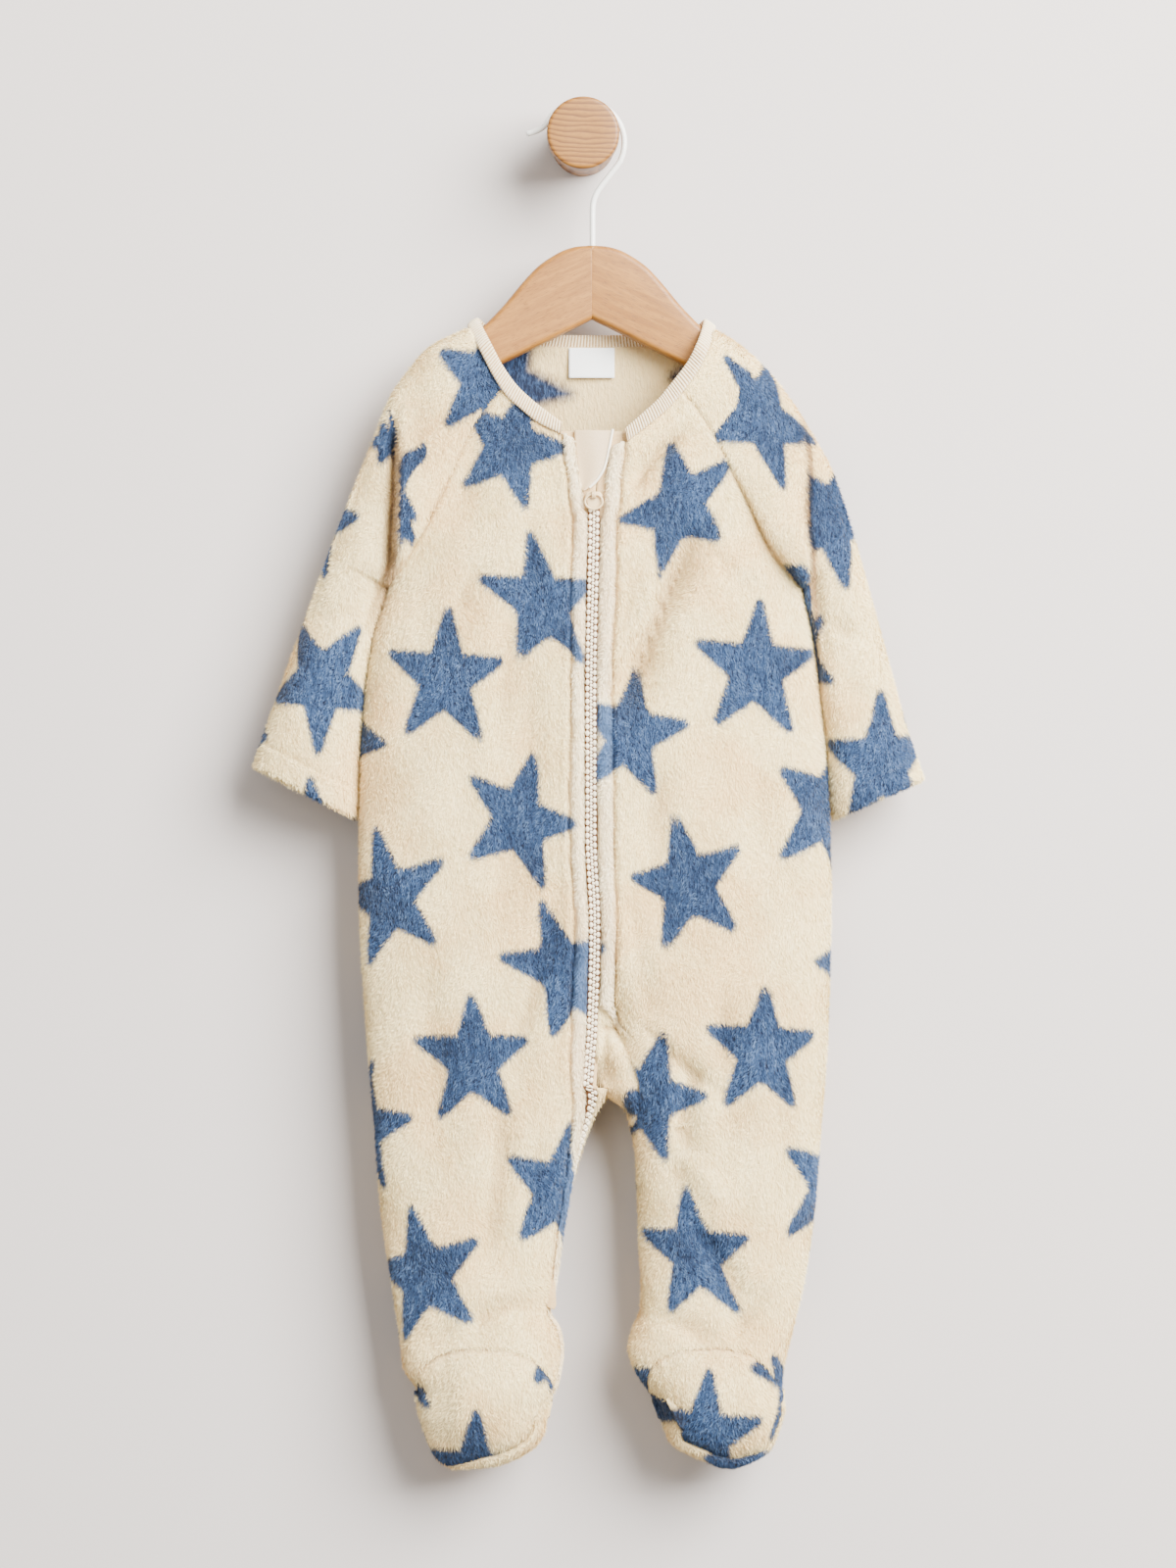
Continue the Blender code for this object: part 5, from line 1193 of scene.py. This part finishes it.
for angle in np.linspace(0, 2 * math.pi, 49)[:-1]:
    up = min(ringHigh / 2 * math.cos(angle), ringHigh / 2 - 0.35)
    ringPath.append((slider["x"] + ringWide / 2 * math.sin(angle), front - 1.15,
                     pivot - ringHigh / 2 + 0.35 + up))
zipPull = tube("zip_pull_ring", ringPath, ringThick, closed=True)

# The guard at the zip's top; its rows are z, its left and its right edge.
guard = {"rows": [(-163.2, -5.0, 16.3), (-172, -4.2, 14.6), (-183.6, -2.9, 11.9), (-190.6, -2.0, 8.1),
                  (-195.2, -1.8, 3.6), (-197.6, -1.2, 0.2)],
         "top": -163.6, "end": -196.8, "thick": 1.2, "wave": 0.5, "piping": 0.75}
z = np.linspace(guard["top"], guard["end"], 40)[:, None]
u = np.linspace(0, 1, 20)[None]
left, right = Track(guard["rows"], 1)(z), Track(guard["rows"], 2)(z)
grid = onCloth(-1, left + (right - left) * u, z)
grid[..., 1] += 0.9 + guard["wave"] * np.sin(u * 5.2 + z * 0.06)
zipGuard = walled("zip_guard_satin", grid, guard["thick"])
guardPiping = tube("zip_guard_piping", grid[:-2, -1] - (0, 0.1, 0), guard["piping"], segments=8)
print("slider, pull and guard built")

# Rib binding round the neck: rows of a seam line and the opening's edge, swept as a ribbed roll.
binding = {"thick": 2.6, "ribPitch": 1.7, "ribDepth": 0.42, "perRib": 5, "section": 15,
           "overSeam": 0.7, "seamDip": 0.35, "sunk": 0.72}


def neckHalf(side):
    # Pairs of points on the seam and the free edge; over the shoulder they leave the front.
    made, rows = [], neckRows[side]
    cornerX, cornerZ = raglanFront[side][0]
    reach = math.hypot(rows[-1][0] - cornerX, rows[-1][1] - cornerZ)
    edge = abs(clothAt(-1, cornerX, cornerZ) - hangY)
    for x, z, ribX, ribZ in rows:
        t = min(math.hypot(x - cornerX, z - cornerZ) / reach, 1)
        over = z > cornerZ
        y = hangY - edge * float(section(t, 2.6)) if over else clothAt(-1, x, z)
        lean = 0.5 * (1 - t) if over else 0.5
        made.append(((x, y, z), (ribX, y + lean, ribZ)))
    return made


def betweenPairs(a, b, share, nudge):
    return tuple(np.array(p) * (1 - share) + np.array(q) * share + nudge for p, q in zip(a, b))


def neckPairs():
    right, left = neckHalf("right"), neckHalf("left")[::-1]
    back = []
    for x, z, ribX, ribZ in neckRows["back"]:
        y = clothAt(1, x, z)
        back.append(((x, y, z), (ribX, y - 0.6, ribZ)))
    return (right + [betweenPairs(right[-1], back[0], 0.45, (-1.2, 1, 0.4))] + back
            + [betweenPairs(back[-1], left[0], 0.55, (1.2, 1, 0.4))] + left)


def smoothLine(points, count):
    # Evenly spaced points on a curve through all of these.
    flat = np.array([tuple(p) for p in points])
    run = runOf(flat)
    at = np.linspace(0, run[-1], count)
    i = np.clip(np.searchsorted(run, at, side="right") - 1, 0, len(run) - 2)
    t = ((at - run[i]) / (run[i + 1] - run[i]))[:, None]
    before, after = flat[np.maximum(i - 1, 0)], flat[np.minimum(i + 2, len(flat) - 1)]
    a, b = flat[i], flat[i + 1]
    slopeA = np.where((i > 0)[:, None], (b - before) / 2, b - a)
    slopeB = np.where((i + 2 < len(flat))[:, None], (after - a) / 2, b - a)
    return hermite(t, a, b, slopeA, slopeB)


pairs = neckPairs()
length = runOf(np.array([p[0] for p in pairs]))[-1]
count = int(length / binding["ribPitch"]) * binding["perRib"]
seamLine = smoothLine([p[0] for p in pairs], count)
ribLine = smoothLine([p[1] for p in pairs], count)
ahead = np.gradient(seamLine, axis=0)
ahead /= np.linalg.norm(ahead, axis=1, keepdims=True)
wide = ribLine - seamLine
wide -= ahead * np.sum(wide * ahead, axis=1, keepdims=True)
seamLine = seamLine - wide / np.linalg.norm(wide, axis=1, keepdims=True) * binding["overSeam"]
out = np.cross(ahead, wide)
out /= np.linalg.norm(out, axis=1, keepdims=True)
middle, half = (seamLine + ribLine) / 2, (ribLine - seamLine) / 2
angle = np.linspace(0, 2 * math.pi, binding["section"] + 1)[:-1]
across, above = (np.sign(wave) * np.abs(wave) ** 0.6 for wave in (np.cos(angle), np.sin(angle)))
ribs = np.cos(np.arange(count) * 2 * math.pi / binding["perRib"])
puff = 1 + binding["ribDepth"] * ribs[:, None] * np.abs(above)[None]
seamDip = binding["seamDip"] * bell(across + 0.72, 0.1)[None] * np.maximum(above, 0)[None]
height = (above[None] * puff - binding["sunk"] - seamDip) * binding["thick"] / 2
shell = middle[:, None] + half[:, None] * across[None, :, None] + out[:, None] * height[..., None]
segments = binding["section"]
points = shell.reshape(-1, 3)
capStart, capEnd = len(points), len(points) + 1
points = np.concatenate([points, shell[0].mean(0)[None], shell[-1].mean(0)[None]])
k = np.arange(segments)
nextK = (k + 1) % segments
last = (count - 1) * segments
# both ends close in a fan, given as four-sided faces with one corner twice
caps = [np.stack([nextK, k, 0 * k + capStart, 0 * k + capStart], -1),
        np.stack([last + k, last + nextK, 0 * k + capEnd, 0 * k + capEnd], -1)]
ribRun = np.concatenate([np.repeat(np.arange(count) / binding["perRib"], segments), [0, 0]])
neckBinding = fillMesh("neck_binding_rib", points,
                       np.concatenate([gridFaces(count, segments, loop=True)] + caps),
                       {"rib": ribRun})

label = {"left": -8.0, "top": -116.0, "wide": 25.4, "high": 16.7, "thick": 0.5}
u, v = np.meshgrid(np.linspace(0, 1, 24), np.linspace(0, 1, 18))
x, z = label["left"] + label["wide"] * u, label["top"] - label["high"] * v
y = clothY(1, x, z) - fleece["wall"] - 0.9 - 0.7 * v * (1 + np.sin(3 * u + 0.5)) - 0.6 * v * v
neckLabel = walled("neck_label_bare", np.stack([x, y, z], -1), label["thick"])

# Hanger halves, wire and peg.
wood = {"topTable": [(0, -60.4), (7.4, -60.9), (14.9, -62.8), (21.6, -66.2), (29.8, -71.9), (36, -78.2),
                     (42.8, -86.2), (48.3, -92.9), (53, -98), (60, -105), (67, -111), (75, -117.2),
                     (82, -122.2), (89, -129.4)],
        "x": 4.9, "thick": 12.0, "underZ": -101.0, "slope": 0.5, "tip": 97.0, "round": 3.2, "mitre": 2.5}
hangerTop = Track(wood["topTable"])
hangerArms = {}
for side, sign in outward.items():
    lowZ = wood["underZ"] - wood["slope"] * (wood["tip"] - 5)
    outline = [(dx, float(hangerTop(dx))) for dx in np.linspace(0, 89, 60)]
    corner = [(89, -129.4), (93.6, -134.4), (96.4, -139), (97, -143.5), (95.2, lowZ + 1), (92, lowZ)]
    outline += [tuple(p) for p in Path(corner)(np.linspace(0.05, 1, 16))]
    outline += [(dx, wood["underZ"] - wood["slope"] * dx) for dx in (60, 30, -wood["mitre"])]
    outline[0] = (-wood["mitre"], outline[0][1])  # so the rounded ends meet without a groove
    outline = [(wood["x"] + sign * dx, z) for dx, z in outline]
    hangerArms[side] = rounded("hanger_" + side + "_beech", outline, hangY - wood["thick"] / 2,
                               hangY + wood["thick"] / 2, wood["round"], 6)

hook = {"radius": 1.6, "round": 22.8, "drop": 3.2, "turn": (-32, 147),
        "stem": [(5.2, -76), (5.2, -62), (5.2, -50), (5.2, -41), (5.6, -36.6), (6.9, -32.4),
                 (9.8, -27.6)],
        "tip": [(-21.3, 6.2), (-24.3, 3.9), (-27.6, 2.6), (-30.2, 1.9)]}
path = list(hook["stem"])
for angle in np.radians(np.linspace(*hook["turn"], 22)):
    path.append((hook["round"] * math.cos(angle), hook["round"] * math.sin(angle) - hook["drop"]))
line = smoothLine([(a, hangY, b) for a, b in path + hook["tip"]], 160)
hangerHook = tube("hanger_hook_wire", line, hook["radius"], segments=20)

# The peg as turned: radius and distance from the wall, from the head's middle to the shank.
peg = {"profile": [(0.01, 54), (9, 54), (17.6, 54), (18.9, 53.8), (19.6, 53.3), (19.9, 52.5),
                   (20, 51.5), (20, 47), (20, 42.6), (19.8, 41.8), (19.2, 41.2), (18.2, 40.9),
                   (17.8, 40.4), (17.7, 38), (17.7, 20), (17.7, 0.0), (0.01, 0.0)], "round": 96}
turn = np.linspace(0, 2 * math.pi, peg["round"] + 1)[:-1]
grid = np.array([[(r * math.cos(a), -y, r * math.sin(a)) for a in turn] for r, y in peg["profile"]])
wallPeg = fillMesh("wall_peg_turned", grid.reshape(-1, 3),
                   gridFaces(len(grid), peg["round"], loop=True))
print("neck, hanger and peg built")


class Wire:
    # A node's socket that can be added, multiplied and so on; each step adds a Math node.
    tree = None

    def __init__(self, socket):
        self.socket = socket

    @staticmethod
    def node(kind, settings=None, **inputs):
        made = Wire.tree.nodes.new(kind)
        for key, value in (settings or {}).items():
            setattr(made, key, value)
        for key, value in inputs.items():
            name = int(key[1:]) if key[1:].isdigit() else key.replace("_", " ")
            target = made.inputs[name]
            if isinstance(value, Wire):
                Wire.tree.links.new(value.socket, target)
            else:
                target.default_value = value
        return made

    @staticmethod
    def math(kind, a, b=0.0):
        return Wire(Wire.node("ShaderNodeMath", {"operation": kind}, i0=a, i1=b).outputs[0])

    def __add__(self, other):
        return Wire.math("ADD", self, other)

    __radd__ = __add__

    def __sub__(self, other):
        return Wire.math("SUBTRACT", self, other)

    def __rsub__(self, other):
        return Wire.math("SUBTRACT", other, self)

    def __mul__(self, other):
        return Wire.math("MULTIPLY", self, other)

    __rmul__ = __mul__

    def __truediv__(self, other):
        return Wire.math("DIVIDE", self, other)

    def __rtruediv__(self, other):
        return Wire.math("DIVIDE", other, self)

    def step(self, low, high):
        made = Wire.node("ShaderNodeMapRange", {"interpolation_type": "SMOOTHSTEP"}, Value=self,
                         From_Min=low, From_Max=high)
        return Wire(made.outputs[0])


def mixColour(share, a, b):
    made = Wire.node("ShaderNodeMix", {"data_type": "RGBA"}, i0=share, i6=a, i7=b)
    return Wire(made.outputs[2])


def stretch(vector, scale, turn=(0, 0, 0)):
    made = Wire.node("ShaderNodeMapping", None, Vector=vector, Scale=scale, Rotation=turn)
    return Wire(made.outputs[0])


def noise(vector, scale, detail=2.0, rough=0.5, bend=0.0):
    made = Wire.node("ShaderNodeTexNoise", None, Vector=vector, Scale=scale, Detail=detail,
                     Roughness=rough, Distortion=bend)
    return Wire(made.outputs["Fac"])


def attribute(name):
    return Wire(Wire.node("ShaderNodeAttribute", {"attribute_name": name}).outputs["Fac"])


def objectPlace():
    return Wire(Wire.node("ShaderNodeTexCoord").outputs["Object"])


def newMaterial(name):
    mat = bpy.data.materials.new(name)
    mat.use_nodes = True
    Wire.tree = mat.node_tree
    Wire.tree.nodes.clear()
    return mat


def surface(colour, rough, height=None, bumpDistance=0.001, bumpStrength=1.0, **fixed):
    inputs = {"Base_Color": colour, "Roughness": rough}
    inputs.update(fixed)
    if height is not None:
        bump = Wire.node("ShaderNodeBump", None, Height=height, Distance=bumpDistance,
                         Strength=bumpStrength)
        inputs["Normal"] = Wire(bump.outputs[0])
    shader = Wire.node("ShaderNodeBsdfPrincipled", None, **inputs)
    Wire.node("ShaderNodeOutputMaterial", None, Surface=Wire(shader.outputs[0]))


def rgb(red, green, blue):
    # 0 to 255 as seen on a screen
    line = [v / 255 for v in (red, green, blue)]
    return tuple(v / 12.92 if v < 0.04045 else ((v + 0.055) / 1.055) ** 2.4 for v in line) + (1.0,)


pile = {"grain": 820.0, "down": 0.30, "height": 0.0016,
        # the first cream and the first blue: painted shade low in the pile; the blue one also darkens
        # creases and broad patches
        "cream": (rgb(217, 179, 117), rgb(255, 240, 187), rgb(251, 225, 167)),
        # fold and deep: painted shade in creases and hollows
        "fold": rgb(204, 176, 126), "threadAndGrooveShade": rgb(196, 158, 110),
        "deep": (rgb(120, 86, 56), rgb(14, 22, 38)),
        "strip": (rgb(255, 250, 232), rgb(126, 160, 206)),
        "blue": (rgb(12, 24, 48), rgb(58, 82, 119), rgb(124, 150, 186))}


def printColour(place, edge, shade):
    # edge: below 0 inside a star; shade: 0 deep in the pile, 1 at its tips
    patch = noise(place, 20.0, 2.0, 0.5).step(0.42, 0.66)
    hollow, stitched, turned = attribute("hollow"), attribute("seam"), attribute("turned")
    deep, mid, warm = pile["cream"]
    cream = mixColour(patch, mid, warm)
    # painted shade in creases and hollows, darker the deeper they lie
    cream = mixColour(hollow.step(0.1, 1.6) * 0.6, cream, pile["fold"])
    cream = mixColour(hollow.step(1.6, 7.0) * 0.85, cream, pile["deep"][0])
    cream = mixColour(turned * 0.5, cream, pile["strip"][0])
    cream = mixColour((1.0 - shade) * 0.46, cream, deep)
    # stitched lines: the stitching's own colour with painted shade in their groove
    cream = mixColour(stitched * 0.6, cream, pile["threadAndGrooveShade"])
    low, middle, high = pile["blue"]
    blue = mixColour(shade.step(0.0, 0.55), low, middle)
    blue = mixColour(shade.step(0.5, 1.0) * 0.5, blue, high)
    blue = mixColour(patch * 0.3, blue, low)
    # painted shade in creases and hollows on the blue too
    blue = mixColour(hollow.step(0.1, 1.6) * 0.3, blue, low)
    blue = mixColour(hollow.step(1.6, 7.0) * 0.85, blue, pile["deep"][1])
    blue = mixColour(turned * 0.22, blue, pile["strip"][1])
    # stitched lines on the blue: painted shade in their groove
    blue = mixColour(stitched * 0.6, blue, low)
    return mixColour(1.0 - edge.step(-1.3, 1.3), cream, blue)


def fleeceMaterial(name):
    # The ground of the cloth, seen between the blades; kept darker than the blades' tips as painted shade
    # under the pile.
    mat = newMaterial(name)
    place = objectPlace()
    grain = noise(stretch(place, (1, 1, pile["down"])), pile["grain"], 3.0, 0.6, 0.6)
    edge = attribute("star") + (grain - 0.5) * 2.0
    colour = printColour(place, edge, grain.step(0.35, 0.7) * 0.55)
    surface(colour, 0.95, grain, pile["height"], 0.8, Sheen_Weight=0.2, Sheen_Roughness=0.6,
            Specular_IOR_Level=0.12)
    return mat


def pileMaterial(name):
    mat = newMaterial(name)
    place = objectPlace()
    tuft = noise(stretch(place, (1, 1, 0.36)), 420.0, 2.0, 0.55, 0.8)
    # painted shade: each blade darker at its root than at its tip, with tone that differs at random
    shade = attribute("tip") * 0.34 + attribute("tone") * 0.24 + tuft.step(0.36, 0.64) * 0.46
    colour = printColour(place, attribute("star"), shade)
    surface(colour, 0.9, Sheen_Weight=0.2, Sheen_Roughness=0.5, Specular_IOR_Level=0.12)
    return mat


def plainCloth(name, colour, second, rough, weave, calm=0.5, spec=0.3):
    mat = newMaterial(name)
    place = objectPlace()
    grain = noise(place, weave, 2.0, 0.6)
    surface(mixColour(grain.step(0.3, 0.7), colour, second), rough, grain, 0.0003, calm,
            Specular_IOR_Level=spec)
    return mat


def ribMaterial():
    mat = newMaterial("rib knit")
    place = objectPlace()
    run = attribute("rib")
    wave = Wire.math("COSINE", run * (2 * math.pi))
    knit = noise(place, 900.0, 2.0, 0.6)
    # painted shade in the valleys between the ribs
    valleyShade = (0.5 - wave * 0.5)
    colour = mixColour(valleyShade * 0.95, rgb(250, 236, 200), rgb(178, 138, 86))
    colour = mixColour(knit.step(0.5, 0.75) * 0.3, colour, rgb(255, 250, 240))
    surface(colour, 0.9, wave * 0.4 + knit * 0.4, 0.0005, 0.6, Specular_IOR_Level=0.2)
    return mat


beechTones = (rgb(142, 91, 28), rgb(164, 111, 42), rgb(90, 54, 18))


def beech(name, degrees):
    # Flat-sawn beech, its grain along a hanger half.
    mat = newMaterial(name)
    lie = stretch(objectPlace(), (1, 1, 1), (0, math.radians(degrees), 0))
    bands = noise(stretch(lie, (6, 60, 60)), 6.0, 3.0, 0.55, 0.5)
    pores = noise(stretch(lie, (24, 300, 300)), 9.0, 2.0, 0.5, 0.2)
    colour = mixColour(bands.step(0.3, 0.7), beechTones[0], beechTones[1])
    colour = mixColour(pores.step(0.56, 0.64) * 0.55, colour, beechTones[2])
    surface(colour, 0.5, bands * 0.3 - pores.step(0.58, 0.7) * 0.4, 0.0002, 0.4,
            Coat_Weight=0.12, Coat_Roughness=0.35)
    return mat


pegRings = {"heart": 0.15, "pitch": 0.0029, "early": rgb(152, 102, 34), "late": rgb(92, 50, 8)}


def pegWood(name):
    mat = newMaterial(name)
    place = objectPlace()
    apart = Wire.node("ShaderNodeSeparateXYZ", None, Vector=place)
    x, z = Wire(apart.outputs["X"]) - 0.01, Wire(apart.outputs["Z"]) - pegRings["heart"]
    wander = noise(stretch(place, (1, 1, 3)), 30.0, 2.0, 0.5)
    ring = Wire.math("FRACT", Wire.math("SQRT", x * x + z * z) / pegRings["pitch"] + wander * 2.2)
    late = ring.step(0.25, 0.9) * (1.0 - ring.step(0.93, 1.0))  # dark at each ring's end
    pores = noise(stretch(place, (30, 6, 240)), 9.0, 2.0, 0.5, 0.2)
    colour = mixColour(late * 0.8, pegRings["early"], pegRings["late"])
    colour = mixColour(pores.step(0.5, 0.65) * 0.3, colour, pegRings["late"])
    surface(colour, 0.5, late * -0.4, 0.0002, 0.4, Coat_Weight=0.12, Coat_Roughness=0.35)
    return mat


def plain(name, colour, rough, **fixed):
    mat = newMaterial(name)
    surface(colour, rough, **fixed)
    return mat


mats = {"fleece": fleeceMaterial("printed fleece"),
        "pile": pileMaterial("fleece pile"),
        "rib": ribMaterial(),
        "tape": plainCloth("zip tape weave", rgb(226, 196, 148), rgb(206, 172, 122), 0.85, 2200.0),
        "teeth": plain("cream zip teeth", rgb(248, 234, 206), 0.42),
        # dark brown sheet behind the teeth: painted shade between them
        "core": plain("zip chain shade ground", rgb(92, 56, 28), 0.8),
        "slider": plain("painted slider", rgb(228, 200, 152), 0.32, Coat_Weight=0.3, Coat_Roughness=0.2),
        "satin": plainCloth("satin guard", rgb(208, 180, 138), rgb(218, 192, 152), 0.42, 1500.0, 0.15, 0.5),
        "piping": plain("satin piping", rgb(250, 240, 218), 0.6),
        "label": plainCloth("label satin", rgb(244, 245, 243), rgb(238, 240, 238), 0.6, 2600.0, 0.2),
        "beechRight": beech("beech right", 24), "beechLeft": beech("beech left", -24),
        "peg": pegWood("turned peg"),
        "wire": plain("white wire", rgb(236, 236, 230), 0.32, Coat_Weight=0.4, Coat_Roughness=0.15)}
print("materials ready")

# object, material, CAD nodes it stands for, record slot, body
pieces = [
    (frontRight, "fleece", ["front_right"], "fleece", "sleepsuit"),
    (frontLeft, "fleece", ["front_left"], "fleece", "sleepsuit"),
    (backPanel, "fleece", ["back"], "fleece", "sleepsuit"),
    (sleeveRight, "fleece", ["sleeve_right"], "fleece", "sleepsuit"),
    (sleeveLeft, "fleece", ["sleeve_left"], "fleece", "sleepsuit"),
    (vamps["right"], "fleece", ["vamp_right"], "fleece", "sleepsuit"),
    (vamps["left"], "fleece", ["vamp_left"], "fleece", "sleepsuit"),
    (soles["right"], "fleece", ["sole_right"], "fleece", "sleepsuit"),
    (soles["left"], "fleece", ["sole_left"], "fleece", "sleepsuit"),
    (neckBinding, "rib", ["neck_binding"], "rib", "sleepsuit"),
    (neckLabel, "label", ["neck_label"], "label", "sleepsuit"),
    (tapes["right"], "tape", ["zip_tape_right"], "tape", "sleepsuit"),
    (tapes["left"], "tape", ["zip_tape_left"], "tape", "sleepsuit"),
    (zipTeeth, "teeth", ["zip_chain"], "zip", "sleepsuit"),
    (zipShadeCore, "core", [], "zip", "sleepsuit"),
    (zipSlider, "slider", ["zip_slider"], "zip", "sleepsuit"),
    (zipPull, "slider", ["zip_pull"], "zip", "pull"),
    (zipGuard, "satin", ["zip_guard"], "satin", "sleepsuit"),
    (guardPiping, "piping", [], "satin", "sleepsuit"),
    (zipTail, "tape", [], "tape", "sleepsuit"),
    (hangerArms["right"], "beechRight", ["hanger_arm_right"], "beech", "sleepsuit"),
    (hangerArms["left"], "beechLeft", ["hanger_arm_left"], "beech", "sleepsuit"),
    (hangerHook, "wire", ["hanger_hook"], "white_wire", "sleepsuit"),
    (wallPeg, "peg", ["wall_peg"], "beech_peg", "sleepsuit")]
piles = [pileFrontRight, pileFrontLeft, pileBack, pileSleeveRight, pileSleeveLeft] + list(footPile.values())
pieces += [(ob, "pile", [], "fleece", "sleepsuit") for ob in piles]
for ob, material, nodes, slotName, body in pieces:
    ob.data.materials.clear()
    ob.data.materials.append(mats[material])
    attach(ob, body)
    if nodes:
        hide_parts(*nodes)

# The cloth as it is cut: width and length in metres, what it hangs from, what goes with it.
leastCut = 0.31          # share of its box that a cut piece takes up at the least
hangers = (hangerArms["right"], hangerArms["left"])
fronts = {"right": frontRight, "left": frontLeft}
cuts = [(frontRight, (0.155, 0.60), hangers, [pileFrontRight]),
        (frontLeft, (0.150, 0.60), hangers, [pileFrontLeft]),
        (backPanel, (0.30, 0.66), hangers, [pileBack]),
        (sleeveRight, (0.165, 0.285), hangers, [pileSleeveRight]),
        (sleeveLeft, (0.165, 0.280), hangers, [pileSleeveLeft]),
        (neckBinding, (0.014, 0.32), hangers, []),
        (neckLabel, (0.0254, 0.0167), (backPanel,), []),
        (tapes["right"], (0.0125, 0.478), (frontRight,), [zipTail]),
        (tapes["left"], (0.0125, 0.478), (frontLeft,), []),
        (zipGuard, (0.0215, 0.034), (tapes["right"],), [guardPiping])]
for side in ("right", "left"):
    cuts.append((vamps[side], (0.085, 0.075), (fronts[side],), [footPile["vamp", side]]))
    cuts.append((soles[side], (0.085, 0.085), (vamps[side],), [footPile["sole", side]]))
for ob, flat, above, along in cuts:
    face = sum(polygon.area for polygon in ob.data.polygons)
    face = face / 2 if ob is neckBinding else face  # the binding is a roll, so it has two sides
    box = flat[0] * flat[1]
    area = min(max(face, leastCut * box), box)
    print("cut", ob.name, flat, round(area * 1e4, 1), "of", round(face * 1e4, 1), "square cm")

# Wall, light and camera, in metres and watts.
studio = {"wallSize": 4, "wallBehind": 0.0006, "aim": (0, 0, -0.4), "lampSize": 2.0,
          "lamps": [("key", (1.5, -1.9, 0.9), 470, (1, 0.99, 0.97)),
                    ("front fill", (-0.9, -2.6, 0.1), 36, (1, 0.98, 0.95))],
          "sky": (1.0, 0.92, 0.84, 1), "skyPower": 0.35,
          "camera": (0.0027, -2.845, -0.358), "lens": 116.67, "sensor": 36}
bpy.ops.mesh.primitive_plane_add(size=studio["wallSize"], rotation=(math.pi / 2, 0, 0),
                                 location=(0, studio["wallBehind"], studio["aim"][2]))
wallPlane = bpy.context.active_object
wallPlane.name = "wall"
mat = newMaterial("painted wall")
surface(rgb(204, 197, 193), 0.9, Specular_IOR_Level=0.2)
wallPlane.data.materials.append(mat)
wallPlane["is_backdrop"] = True

lamps = []
for name, place, power, colour in studio["lamps"]:
    data = bpy.data.lights.new(name, "AREA")
    data.shape = "RECTANGLE"
    data.size = data.size_y = studio["lampSize"]
    data.energy = power
    data.color = colour
    lamp = bpy.data.objects.new(name, data)
    bpy.context.scene.collection.objects.link(lamp)
    lamp.location = place
    lamp.rotation_euler = (Vector(studio["aim"]) - Vector(place)).to_track_quat("-Z", "Y").to_euler()
    lamps.append(lamp)
world = bpy.data.worlds.new("studio")
bpy.context.scene.world = world
world.use_nodes = True
world.node_tree.nodes["Background"].inputs[0].default_value = studio["sky"]
world.node_tree.nodes["Background"].inputs[1].default_value = studio["skyPower"]
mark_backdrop(*lamps)

cameraData = bpy.data.cameras.new("front view")
cameraData.sensor_width = studio["sensor"]
cameraData.lens = studio["lens"]
camera = bpy.data.objects.new("front view", cameraData)
bpy.context.scene.collection.objects.link(camera)
camera.location = studio["camera"]
camera.rotation_euler = (math.pi / 2, 0, 0)
bpy.context.scene.camera = camera
camera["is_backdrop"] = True
print("wall, lamps and camera set")

low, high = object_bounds()
print("scene ready", [round(v * 1000) for v in low], [round(v * 1000) for v in high])
